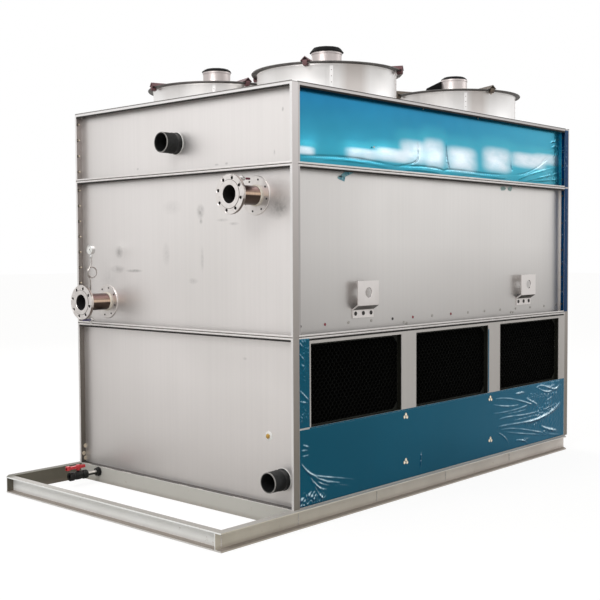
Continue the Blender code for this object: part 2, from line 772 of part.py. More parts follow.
def make_cock(name, pipe_place, rise):
    """A small cock that stands on the pipe, or hangs under it when rise is negative."""
    y, pipe_z = pipe_place
    x = PIPE_SHEET_X - COCK_OUT
    side = 1 if rise > 0 else -1
    seat = pipe_z + side * (PIPE_RADIUS + GAP)
    low = min(seat, seat + rise)
    cock = rod(name, (x, y, low), abs(rise), "Z", COCK_STEM_RADIUS, "gauge_steel",
               segments=SMALL_FACETS)
    body_z = seat + COCK_BODY_SHARE * rise
    body = rod(name + "_body", (x - COCK_BODY_LENGTH / 2, y, body_z), COCK_BODY_LENGTH,
               "X", COCK_BODY_RADIUS, segments=SMALL_FACETS)
    reach = side * COCK_LEVER_LENGTH
    lever_y = y - COCK_BODY_RADIUS
    lever = box(name + "_lever",
                (min(x, x + reach), lever_y - COCK_LEVER_T / 2, body_z - COCK_LEVER_WIDTH / 2),
                (max(x, x + reach), lever_y + COCK_LEVER_T / 2, body_z + COCK_LEVER_WIDTH / 2))
    join(cock, body, lever)


def make_drain():
    """The basin drain: a nut on the cross beam, a nipple and a ball valve."""
    seat = PIPE_END_X - GAP
    z = CHANNEL_H - DRAIN_DEPTH
    nut = rod("basin_drain_valve", (seat - DRAIN_NUT_T, DRAIN_Y, z), DRAIN_NUT_T, "X",
              DRAIN_NUT_RADIUS, "valve_black", segments=FITTING_FACETS)
    nipple = rod("drain_nipple", (seat - VALVE_OUT - VALVE_BODY_LENGTH / 2, DRAIN_Y, z),
                 VALVE_OUT + VALVE_BODY_LENGTH / 2, "X", DRAIN_PIPE_RADIUS, segments=FITTING_FACETS)
    body_x = seat - VALVE_OUT - VALVE_BODY_LENGTH
    body = rod("drain_valve_body", (body_x, DRAIN_Y, z), VALVE_BODY_LENGTH, "X",
               VALVE_BODY_RADIUS, segments=FITTING_FACETS)
    centre_x = body_x + VALVE_BODY_LENGTH / 2
    stem_top = z + VALVE_BODY_RADIUS + HANDLE_CLEARANCE
    stem = rod("drain_valve_stem", (centre_x, DRAIN_Y, z), stem_top - z, "Z",
               VALVE_STEM_RADIUS, segments=SMALL_FACETS)
    bore = rod("drain_valve_bore", (body_x - OVERCUT, DRAIN_Y, z),
               VALVE_BODY_LENGTH / 2 - VALVE_STEM_RADIUS, "X", VALVE_BORE_RADIUS,
               segments=SMALL_FACETS)
    join(nut, nipple, body, stem)
    cut(nut, bore)
    box("drain_valve_handle",
        (-HANDLE_SHIFT - HANDLE_LENGTH / 2, -HANDLE_WIDTH / 2, 0),
        (-HANDLE_SHIFT + HANDLE_LENGTH / 2, HANDLE_WIDTH / 2, HANDLE_T),
        "handle_red", (centre_x, DRAIN_Y, stem_top + GAP))


# Lifting lugs
def make_lug(name, x, side):
    """A bent plate: foot on the panel, step outwards, upright plate with an eye."""
    sheet_y = HALF_WIDTH - TRAY_DEPTH + SHEET_T
    inner = -(sheet_y + GAP)
    foot_low = LOWER_TOP + LUG_RISE
    foot_top = foot_low + LUG_FOOT_H
    plate_low = foot_top + LUG_STEP_H
    plate_top = plate_low + LUG_PLATE_H
    out = inner - LUG_STANDOFF
    outline = [(inner, foot_low), (inner, foot_top), (out, plate_low), (out, plate_top),
               (out - LUG_T, plate_top), (out - LUG_T, plate_low - LUG_T),
               (inner - LUG_T, foot_top - LUG_T), (inner - LUG_T, foot_low)]
    lug = extruded(name, outline, LUG_WIDTH, "casing_sheet")
    upright = Matrix(((0, 0, 1, 0), (1, 0, 0, 0), (0, 1, 0, 0), (0, 0, 0, 1)))
    lug.data.transform(upright)
    eye = rod(name + "_eye", (0, out - LUG_T - OVERCUT, plate_low + LUG_PLATE_H / 2),
              LUG_T + 2 * OVERCUT, "Y", LUG_HOLE_RADIUS)
    starts = [(i * LUG_BOLT_PITCH, inner - LUG_T - OVERCUT, foot_low + LUG_FOOT_H / 2)
              for i in (-1, 0, 1)]
    bolts = rod_set(name + "_bolt_holes", starts, LUG_T + 2 * OVERCUT, "Y",
                    LUG_BOLT_RADIUS)
    for thing in (lug, eye, bolts):
        thing.location = (CASING_X + x, 0, 0)
        if side > 0:
            thing.rotation_euler = (0, 0, math.pi)
    cut(lug, eye, bolts)


def make_lugs():
    for number, x in enumerate(LUG_X, 1):
        make_lug(f"lifting_lug_front_{number}", x, -1)
        make_lug(f"lifting_lug_back_{number}", x, 1)


make_skid()
make_end_panels()
make_side_panels()
make_floor_and_roof()
make_fans()
make_nozzle("upper_nozzle", UPPER_NOZZLE)
make_nozzle("lower_nozzle", LOWER_NOZZLE)
make_stub("upper_pipe_stub", UPPER_STUB, UPPER_STUB_RADIUS)
make_stub("lower_pipe_stub", LOWER_STUB, LOWER_STUB_RADIUS)
make_gauge()
make_cock("vent_cock", UPPER_NOZZLE, VENT_RISE)
make_cock("nozzle_drain_cock", LOWER_NOZZLE, -DRAIN_DROP)
make_drain()
make_lugs()
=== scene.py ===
import math
import random

import bmesh
import bpy
import numpy as np
from mathutils import Matrix, Vector


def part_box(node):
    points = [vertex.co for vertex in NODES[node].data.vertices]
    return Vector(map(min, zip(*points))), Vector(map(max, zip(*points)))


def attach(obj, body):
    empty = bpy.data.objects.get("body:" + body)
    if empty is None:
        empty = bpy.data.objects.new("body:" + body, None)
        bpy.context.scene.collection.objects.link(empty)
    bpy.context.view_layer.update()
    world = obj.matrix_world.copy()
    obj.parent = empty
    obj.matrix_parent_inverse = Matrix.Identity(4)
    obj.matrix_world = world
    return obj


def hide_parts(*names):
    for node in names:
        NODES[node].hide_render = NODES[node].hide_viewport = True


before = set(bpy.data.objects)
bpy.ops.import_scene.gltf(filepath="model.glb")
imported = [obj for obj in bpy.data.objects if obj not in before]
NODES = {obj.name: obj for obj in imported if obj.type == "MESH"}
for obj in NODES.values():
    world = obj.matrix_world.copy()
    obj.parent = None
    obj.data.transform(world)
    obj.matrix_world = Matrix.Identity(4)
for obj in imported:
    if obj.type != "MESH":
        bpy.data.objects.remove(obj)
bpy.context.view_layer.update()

# Sheet metal, as in the solids
SHEET_T = 0.003
TRAY_DEPTH = 0.050
FLANGE_T = 0.003
SKIN_GAP = 0.0004

# Places worked out from the frame
DECK_LOW, DECK_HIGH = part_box("roof_deck")
CASING_X = (DECK_LOW.x + DECK_HIGH.x) / 2
HALF_LENGTH = (DECK_HIGH.x - DECK_LOW.x) / 2
HALF_WIDTH = (DECK_HIGH.y - DECK_LOW.y) / 2
SHEET_BACK = TRAY_DEPTH - SHEET_T
SIDE_REACH = (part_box("front_panel_fan")[1].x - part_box("front_panel_fan")[0].x) / 2

# Each side's own axes: x along it, -y out of it, z up, from below the middle of its outer plane
FACES = {
    "front": Matrix.Translation((CASING_X, -HALF_WIDTH, 0)),
    "back": Matrix.Translation((CASING_X, HALF_WIDTH, 0)) @ Matrix.Rotation(math.pi, 4, 'Z'),
    "pipe": Matrix.Translation((DECK_LOW.x, 0, 0)) @ Matrix.Rotation(-math.pi / 2, 4, 'Z'),
    "far": Matrix.Translation((DECK_HIGH.x, 0, 0)) @ Matrix.Rotation(math.pi / 2, 4, 'Z'),
}
REACHES = {"front": SIDE_REACH, "back": SIDE_REACH, "pipe": HALF_WIDTH, "far": HALF_WIDTH}
OUTWARD = Matrix.Rotation(math.pi / 2, 4, 'X')


# Node trees
class Finish:
    """A material with its shader and short ways to drive it."""

    def __init__(self, name, colour, roughness, metallic=0.0, **sockets):
        self.material = bpy.data.materials.new(name)
        self.material.use_nodes = True
        self.tree = self.material.node_tree
        self.shader = self.tree.nodes["Principled BSDF"]
        self.set("Base Color", (*colour, 1.0))
        self.set("Roughness", roughness)
        self.set("Metallic", metallic)
        for socket, value in sockets.items():
            self.set(socket.replace("_", " "), value)
        self.coords = self.add("ShaderNodeTexCoord").outputs["Object"]

    def set(self, socket, value):
        self.shader.inputs[socket].default_value = value

    def add(self, kind):
        return self.tree.nodes.new(kind)

    def link(self, source, target):
        self.tree.links.new(source, target)

    def noise(self, scale, detail=3.0, stretch=(1, 1, 1), roughness=0.5):
        """Noise of that many features a metre, drawn out by stretch along each axis."""
        mapping = self.add("ShaderNodeMapping")
        mapping.inputs["Scale"].default_value = [scale / s for s in stretch]
        self.link(self.coords, mapping.inputs["Vector"])
        noise = self.add("ShaderNodeTexNoise")
        noise.inputs["Scale"].default_value = 1.0
        noise.inputs["Detail"].default_value = detail
        noise.inputs["Roughness"].default_value = roughness
        self.link(mapping.outputs["Vector"], noise.inputs["Vector"])
        return noise.outputs["Fac"]

    def remap(self, value, low, high, to_low=0.0, to_high=1.0, kind='LINEAR'):
        node = self.add("ShaderNodeMapRange")
        node.interpolation_type = kind
        for socket, number in (("From Min", low), ("From Max", high),
                               ("To Min", to_low), ("To Max", to_high)):
            node.inputs[socket].default_value = number
        self.link(value, node.inputs["Value"])
        return node.outputs["Result"]

    def mix(self, factor, first, second):
        """A colour between first and second; each is a colour or another node's output."""
        node = self.add("ShaderNodeMix")
        node.data_type = 'RGBA'
        self.link(factor, node.inputs["Factor"])
        for socket, colour in ((6, first), (7, second)):
            if isinstance(colour, tuple):
                node.inputs[socket].default_value = (*colour, 1.0)
            else:
                self.link(colour, node.inputs[socket])
        return node.outputs[2]

    def height(self, axis="Z"):
        split = self.add("ShaderNodeSeparateXYZ")
        self.link(self.coords, split.inputs[0])
        return split.outputs[axis]

    def times(self, first, second):
        node = self.add("ShaderNodeMath")
        node.operation = 'MULTIPLY'
        self.link(first, node.inputs[0])
        self.link(second, node.inputs[1])
        return node.outputs[0]

    def spot(self, centre, reach):
        """Distance from a place, counted in reaches along each axis."""
        mapping = self.add("ShaderNodeMapping")
        mapping.vector_type = 'TEXTURE'
        mapping.inputs["Location"].default_value = centre
        mapping.inputs["Scale"].default_value = reach
        self.link(self.coords, mapping.inputs["Vector"])
        length = self.add("ShaderNodeVectorMath")
        length.operation = 'LENGTH'
        self.link(mapping.outputs["Vector"], length.inputs[0])
        return length.outputs["Value"]

    def patch(self, centre, reach):
        """As spot, squared and with squarer corners."""
        mapping = self.add("ShaderNodeMapping")
        mapping.vector_type = 'TEXTURE'
        mapping.inputs["Location"].default_value = centre
        mapping.inputs["Scale"].default_value = reach
        self.link(self.coords, mapping.inputs["Vector"])
        square = self.add("ShaderNodeVectorMath")
        square.operation = 'MULTIPLY'
        self.link(mapping.outputs["Vector"], square.inputs[0])
        self.link(mapping.outputs["Vector"], square.inputs[1])
        length = self.add("ShaderNodeVectorMath")
        length.operation = 'LENGTH'
        self.link(square.outputs["Vector"], length.inputs[0])
        return length.outputs["Value"]

    def normal(self, axis):
        """How far the surface faces along an axis, from -1 to 1."""
        split = self.add("ShaderNodeSeparateXYZ")
        self.link(self.add("ShaderNodeNewGeometry").outputs["Normal"], split.inputs[0])
        return split.outputs[axis]

    def facing(self, axis):
        """How squarely the surface faces along an axis, either way."""
        size = self.add("ShaderNodeMath")
        size.operation = 'ABSOLUTE'
        self.link(self.normal(axis), size.inputs[0])
        return size.outputs[0]

    def level(self, axis, middle=0.0):
        """Distance from a middle plane across an axis."""
        away = self.add("ShaderNodeMath")
        away.operation = 'SUBTRACT'
        away.inputs[1].default_value = middle
        self.link(self.height(axis), away.inputs[0])
        size = self.add("ShaderNodeMath")
        size.operation = 'ABSOLUTE'
        self.link(away.outputs[0], size.inputs[0])
        return size.outputs[0]

    def outward(self, axis):
        """From -1 to 1, how far the surface faces away from the middle across an axis."""
        sign = self.add("ShaderNodeMath")
        sign.operation = 'SIGN'
        self.link(self.height(axis), sign.inputs[0])
        return self.times(self.normal(axis), sign.outputs[0])

    def stored(self, name):
        """A value kept on the mesh, such as how steeply a film's slope faces up or down."""
        node = self.add("ShaderNodeAttribute")
        node.attribute_name = name
        return node.outputs["Fac"]

    def bump(self, heights):
        """Bumps stacked from (output, distance in metres, strength)."""
        normal = None
        for value, distance, strength in heights:
            node = self.add("ShaderNodeBump")
            node.inputs["Distance"].default_value = distance
            node.inputs["Strength"].default_value = strength
            self.link(value, node.inputs["Height"])
            if normal is not None:
                self.link(normal, node.inputs["Normal"])
            normal = node.outputs["Normal"]
        self.link(normal, self.shader.inputs["Normal"])


# Painted shade for faces that look up or down, and darker for undersides
SOFFIT_SHADE_TONE = (0.024, 0.021, 0.019)
LEDGE_SHADE_TONE = (0.095, 0.088, 0.080)


def sheet_finish(name, light, dark, roughness=0.25, smudges_and_shadows=(), edge=None, shades=(),
                 lip=None, recess_shade=None, shaded_ledges=True):
    """Satin zinc-coated sheet: cloudy tone, very faint rolling grain, hand smudges and painted
    shadows.

    Edge is the tone of side flanges, outer face then inner face, each at the top and at the
    foot of the tower; on the end sheets it is painted shade. Shades are painted shade that
    darkens it from a place along an axis, fading out at another. Lip is the tone past a
    distance from a middle plane across an axis, and behind is painted shade short of it, in the
    recesses. Ledges, the faces that look up or down, get painted shade."""
    finish = Finish(name, light, roughness, 0.85)
    cloud = finish.remap(finish.noise(0.9, 2.0), 0.35, 0.7)
    tone = finish.mix(cloud, light, dark)
    grain = finish.remap(finish.noise(55, 2.0, (1, 1, 80)), 0.4, 0.62, 0, 0.04)
    tone = finish.mix(grain, tone, tuple(0.6 * c for c in dark))
    # Painted shade, fading out along an axis
    for axis, start, stop, share in shades:
        low, high = sorted((start, stop))
        ends = (share, 0.0) if start < stop else (0.0, share)
        tone = finish.mix(finish.remap(finish.height(axis), low, high, *ends), tone,
                          tuple(0.6 * c for c in dark))
    rub = finish.remap(finish.noise(34, 5.0, roughness=0.7), 0.34, 0.66, 0.35, 1.0)
    # Smudges, with painted shadows and dark reflections of the fittings among them
    for y, z, reach_y, reach_z, strength in smudges_and_shadows:
        spot = finish.spot((0.0, y, z), (10.0, reach_y, reach_z))
        tone = finish.mix(finish.times(finish.remap(spot, 0.2, 1.0, strength, 0.0), rub), tone,
                          (0.16, 0.155, 0.15))
    # Painted shade on the side flanges, darker on the inner faces and towards the foot
    if edge:
        rise = finish.remap(finish.height(), 0.4, 2.3)
        outer = finish.mix(rise, edge[1], edge[0])
        inner = finish.mix(rise, edge[3], edge[2])
        out = finish.outward("Y")
        tone = finish.mix(finish.remap(out, 0.6, 0.8), tone, outer)
        tone = finish.mix(finish.remap(out, -0.6, -0.8), tone, inner)
    # Painted shade on faces that look up or down
    if shaded_ledges:
        tone = finish.mix(finish.remap(finish.facing("Z"), 0.6, 0.8), tone, LEDGE_SHADE_TONE)
    # Painted shade on faces set back from the outer plane, in the recesses
    if recess_shade:
        axis, middle, start, colour = recess_shade
        tone = finish.mix(finish.remap(finish.level(axis, middle), start, start + 0.002, 1.0, 0.0),
                          tone, colour)
    if lip:
        axis, middle, start, colour = lip
        tone = finish.mix(finish.remap(finish.level(axis, middle), start, start + 0.002), tone,
                          colour)
    # Painted shade on faces that look down
    if shaded_ledges:
        tone = finish.mix(finish.remap(finish.facing("Z"), -0.6, -0.8), tone, SOFFIT_SHADE_TONE)
    finish.link(tone, finish.shader.inputs["Base Color"])
    rough = finish.remap(finish.noise(3, 3.0), 0.3, 0.75, roughness - 0.02, roughness + 0.05)
    finish.link(rough, finish.shader.inputs["Roughness"])
    finish.bump([(finish.noise(0.9, 1.0), 0.010, 0.10),
                 (finish.noise(300, 2.0, (1, 1, 6)), 0.0001, 0.06)])
    return finish.material


# Painted highlights on the upper film, where its lifted pockets catch the light: x, z, reach along
# each, strength
UPPER_HIGHLIGHTS = (
    (-1.110, 2.062, 0.090, 0.026, 0.80), (-0.610, 2.076, 0.165, 0.036, 0.80),
    (-0.320, 2.088, 0.190, 0.046, 0.88), (-0.105, 2.122, 0.150, 0.080, 0.88),
    (0.120, 2.128, 0.130, 0.100, 0.92), (0.432, 2.110, 0.200, 0.088, 0.95),
    (0.874, 2.134, 0.200, 0.092, 0.95), (1.300, 2.156, 0.260, 0.060, 0.92),
    (1.560, 2.182, 0.200, 0.046, 0.75),
)
FILM_SPAN = (-1.20, 0.28, 1.60)
# Painted highlight, and the cyan fringe round it
HIGHLIGHT_TONE = (0.80, 0.89, 0.96)
HIGHLIGHT_FRINGE_TONE = (0.060, 0.480, 0.600)
# Painted highlight on film slopes that face up, and painted shade in its creases
SLOPE_HIGHLIGHT_TONE = (0.70, 0.86, 0.92)
CREASE_SHADE_TONE = (0.002, 0.040, 0.120)
FOOT_TONE = (0.045, 0.420, 0.530)


def film_finish(name, left, middle, right, roughness, coat=0.2, highlight_spots=(), foot=None,
                highlight_share=1.0):
    """Blue protective film stuck on sheet, paler along it and towards its foot, which lies
    between two heights, with painted highlights on its pockets and on its slopes that face up, and
    painted shade in its creases."""
    finish = Finish(name, middle, roughness, 0.80, Coat_Weight=coat, Coat_Roughness=0.06,
                    Coat_IOR=1.5, Specular_IOR_Level=0.2)
    along = finish.height("X")
    tone = finish.mix(finish.remap(along, FILM_SPAN[0], FILM_SPAN[1]), left, middle)
    tone = finish.mix(finish.remap(along, FILM_SPAN[1], FILM_SPAN[2]), tone, right)
    shade = finish.remap(finish.noise(1.6, 3.0), 0.35, 0.68, 0.0, 0.22)
    tone = finish.mix(shade, tone, tuple(0.72 * c for c in left))
    scuff = finish.remap(finish.noise(200, 6.0, (9, 1, 1), 0.7), 0.68, 0.80, 0, 0.22)
    tone = finish.mix(scuff, tone, (0.42, 0.66, 0.76))
    if foot:
        tone = finish.mix(finish.remap(finish.height(), foot[1], foot[0], 0.68, 0.0), tone,
                          FOOT_TONE)
    cloud = finish.remap(finish.noise(14, 4.0, (2.4, 1, 1)), 0.30, 0.60, 0.70, 1.0)
    # Painted cyan fringe round each painted highlight
    for x, z, reach_x, reach_z, strength in highlight_spots:
        spot = finish.patch((x, 0.0, z + 0.02), (1.5 * reach_x, 10.0, 1.8 * reach_z))
        tone = finish.mix(finish.remap(spot, 0.10, 1.0, 0.5 * strength, 0.0, 'SMOOTHSTEP'), tone,
                          HIGHLIGHT_FRINGE_TONE)
    # Painted highlights on the lifted pockets
    for x, z, reach_x, reach_z, strength in highlight_spots:
        spot = finish.patch((x, 0.0, z), (reach_x, 10.0, reach_z))
        tone = finish.mix(finish.times(finish.remap(spot, 0.04, 1.25, strength, 0.0,
                                                    'SMOOTHSTEP'), cloud), tone, HIGHLIGHT_TONE)
    # Painted shade on slopes that face down or sideways, painted highlight on slopes that face up
    tone = finish.mix(finish.remap(finish.stored("shaded_slope"), 0, 1, 0, 0.85), tone, CREASE_SHADE_TONE)
    tone = finish.mix(finish.remap(finish.times(finish.stored("lit_slope"), cloud), 0, 1, 0,
                                   highlight_share), tone, SLOPE_HIGHLIGHT_TONE)
    finish.link(tone, finish.shader.inputs["Base Color"])
    finish.bump([(finish.noise(26, 3.0, (1.6, 1, 1)), 0.0016, 0.05),
                 (finish.noise(340, 2.0), 0.0002, 0.06)])
    return finish.material


# Painted reflections of the neighbouring fans, as darker upright bands on the front cowls: x, y,
# reach along each, strength
COWL_REFLECTION_BANDS = (
    (-0.618, -0.886, 0.120, 0.075, 0.75), (0.745, -0.857, 0.105, 0.070, 0.70),
    (-0.205, -0.876, 0.080, 0.060, 0.30), (1.205, -0.876, 0.080, 0.060, 0.30),
)
REFLECTION_BAND_TONE = (0.66, 0.60, 0.565)


def rolled_finish(name, light, dark, roughness, reflection_bands=()):
    """Bright rolled sheet with soft upright bands, and darker bands at given places that paint
    reflections of the neighbouring fans.
    """
    finish = Finish(name, light, roughness, 0.85)
    band = finish.remap(finish.noise(4.5, 3.0, (1, 1, 30)), 0.40, 0.66)
    tone = finish.mix(band, light, dark)
    streak = finish.remap(finish.noise(26, 3.0, (1, 1, 22)), 0.56, 0.74, 0, 0.22)
    tone = finish.mix(streak, tone, tuple(0.8 * c for c in dark))
    # Painted reflections of the neighbouring fans
    for x, y, reach_x, reach_y, strength in reflection_bands:
        spot = finish.spot((x, y, 0.0), (reach_x, reach_y, 100.0))
        tone = finish.mix(finish.remap(spot, 0.4, 1.0, strength, 0.0), tone, REFLECTION_BAND_TONE)
    finish.link(tone, finish.shader.inputs["Base Color"])
    rough = finish.remap(finish.noise(9, 3.0), 0.3, 0.7, roughness - 0.03, roughness + 0.07)
    finish.link(rough, finish.shader.inputs["Roughness"])
    finish.bump([(finish.noise(7, 2.0, (1, 1, 3)), 0.002, 0.10)])
    return finish.material


def mottled(name, light, dark, roughness, metallic=0.0, scale=30, bump=0.0004, **sockets):
    """A cast, moulded or painted surface with a mottled tone and a fine skin."""
    finish = Finish(name, light, roughness, metallic, **sockets)
    tone = finish.mix(finish.remap(finish.noise(scale, 5.0), 0.35, 0.68), light, dark)
    finish.link(tone, finish.shader.inputs["Base Color"])
    rough = finish.remap(finish.noise(scale * 1.7, 3.0), 0.3, 0.7,
                         max(0.02, roughness - 0.07), min(1.0, roughness + 0.07))
    finish.link(rough, finish.shader.inputs["Roughness"])
    finish.bump([(finish.noise(scale * 9, 3.0), bump, 0.35)])
    return finish.material


def brushed(name, light, dark, roughness, along, metallic=0.9):
    """Turned or brushed bright metal with fine lines drawn out along one axis."""
    finish = Finish(name, light, roughness, metallic)
    lines = finish.remap(finish.noise(260, 3.0, along), 0.35, 0.7)
    tone = finish.mix(lines, light, dark)
    finish.link(tone, finish.shader.inputs["Base Color"])
    finish.link(finish.remap(lines, 0, 1, roughness - 0.04, roughness + 0.08),
                finish.shader.inputs["Roughness"])
    finish.bump([(lines, 0.0001, 0.25)])
    return finish.material


def banded(name, low, high, band_highlight, roughness, start=0.02, stop=0.22):
    """Turned steel with a painted highlight band along its side, as a window would light it, and
    painted shade above and below the band.
    """
    finish = Finish(name, high, roughness, 0.9)
    # Painted highlight and painted shade, by how far the surface faces up or down
    level = finish.normal("Z")
    tone = finish.mix(finish.remap(level, 0.25, 0.55), tuple((g + 2 * h) / 3
                      for g, h in zip(band_highlight, high)), high)
    tone = finish.mix(finish.remap(level, stop - 0.03, stop + 0.05), band_highlight, tone)
    tone = finish.mix(finish.remap(level, start, start - 0.10), tone, low)
    lines = finish.remap(finish.noise(260, 3.0, (1, 30, 30)), 0.35, 0.7, 0.0, 0.3)
    tone = finish.mix(lines, tone, low)
    finish.link(tone, finish.shader.inputs["Base Color"])
    finish.bump([(lines, 0.0001, 0.25)])
    return finish.material


def channel_finish():
    """Galvanised channel: pale end webs, olive side webs, dull flanges, and painted shade on the
    faces that look inwards.
    """
    finish = Finish("galvanised_channel", (0.46, 0.44, 0.40), 0.55, 0.25)
    cloud = finish.remap(finish.noise(4, 4.0), 0.3, 0.7)
    along = finish.remap(finish.height("X"), -1.8, 1.8)
    side = finish.mix(cloud, finish.mix(along, (0.72, 0.675, 0.57), (0.96, 0.90, 0.84)),
                      finish.mix(along, (0.60, 0.555, 0.46), (0.84, 0.78, 0.72)))
    end = finish.mix(cloud, (0.97, 0.985, 0.975), (0.90, 0.91, 0.885))
    cross = finish.remap(finish.height("X"), -1.60, -1.40)
    end = finish.mix(cross, end, (0.54, 0.53, 0.49))
    tone = finish.mix(finish.remap(finish.facing("X"), 0.6, 0.8), side, end)
    # Painted shade on the faces that look in towards the bay
    tone = finish.mix(finish.remap(finish.outward("Y"), -0.6, -0.8), tone, (0.135, 0.125, 0.095))
    flat = finish.remap(finish.facing("Z"), 0.6, 0.8)
    upper = finish.mix(finish.remap(finish.height("Y"), 0.90, 0.95), (0.46, 0.44, 0.41),
                       (0.15, 0.14, 0.11))
    ledge = finish.mix(finish.remap(finish.height(), 0.02, 0.08), (0.40, 0.355, 0.32), upper)
    tone = finish.mix(flat, tone, ledge)
    low = finish.remap(finish.height(), 0.0, 0.030, 0.45, 0.0)
    tone = finish.mix(low, tone, (0.26, 0.21, 0.17))
    rust = finish.remap(finish.noise(30, 6.0, roughness=0.66), 0.64, 0.74, 0, 0.55)
    tone = finish.mix(rust, tone, (0.30, 0.17, 0.11))
    finish.link(tone, finish.shader.inputs["Base Color"])
    finish.bump([(finish.noise(60, 5.0), 0.0008, 0.3)])
    return finish.material


# Smudges on the pipe end, with painted shadows and dark reflections of the nozzles and stubs among
# them, read from the photograph: y, z, reach along each, strength
END_SMUDGES_AND_SHADOWS = (
    (-0.197, 1.747, 0.040, 0.050, 0.55), (-0.200, 1.690, 0.016, 0.022, 0.45),
    (-0.387, 1.693, 0.060, 0.011, 0.30), (-0.479, 1.670, 0.050, 0.011, 0.34),
    (0.584, 1.510, 0.045, 0.045, 0.55), (0.435, 1.392, 0.095, 0.012, 0.62),
    (0.600, 1.400, 0.080, 0.030, 0.36), (0.700, 1.330, 0.10, 0.10, 0.16),
    (-0.126, 1.336, 0.050, 0.020, 0.30), (0.118, 1.497, 0.040, 0.080, 0.22),
    (-0.209, 1.469, 0.018, 0.090, 0.26), (0.060, 1.780, 0.10, 0.05, 0.14),
    (-0.869, 2.283, 0.010, 0.016, 0.55), (-0.804, 2.053, 0.008, 0.020, 0.50),
    (-0.422, 2.016, 0.016, 0.009, 0.60), (-0.340, 2.014, 0.022, 0.007, 0.50),
    (0.386, 2.031, 0.014, 0.009, 0.45), (-0.560, 0.900, 0.020, 0.010, 0.35),
    (-0.825, 1.765, 0.115, 0.090, 0.42), (-0.850, 1.740, 0.060, 0.045, 0.36),
    (-0.050, 2.160, 0.085, 0.080, 0.52),
)
# Painted shade of the side flanges: outer face at the top and at the foot, then inner face
FLANGE_SHADE_TONES = ((0.62, 0.585, 0.575), (0.30, 0.27, 0.235), (0.38, 0.345, 0.33), (0.17, 0.155, 0.135))
ROOF_EDGE = ((0.30, 0.285, 0.28),) * 4
SIDE_LIP = ("Y", 0.0, HALF_WIDTH - 0.004, (0.46, 0.435, 0.425))
# Painted shade on the end sheets: darker towards the back edge and towards the foot
END_SHADES = (("Y", 0.97, 0.30, 0.20), ("Z", 0.10, 0.75, 0.42))
END_LIP = ("X", CASING_X, HALF_LENGTH - 0.004, (0.84, 0.82, 0.81))
# Painted shade in the recesses of the inlet frame and basin panel
RECESS_SHADE_TONE = ("Y", 0.0, HALF_WIDTH - 0.005, (0.050, 0.050, 0.038))

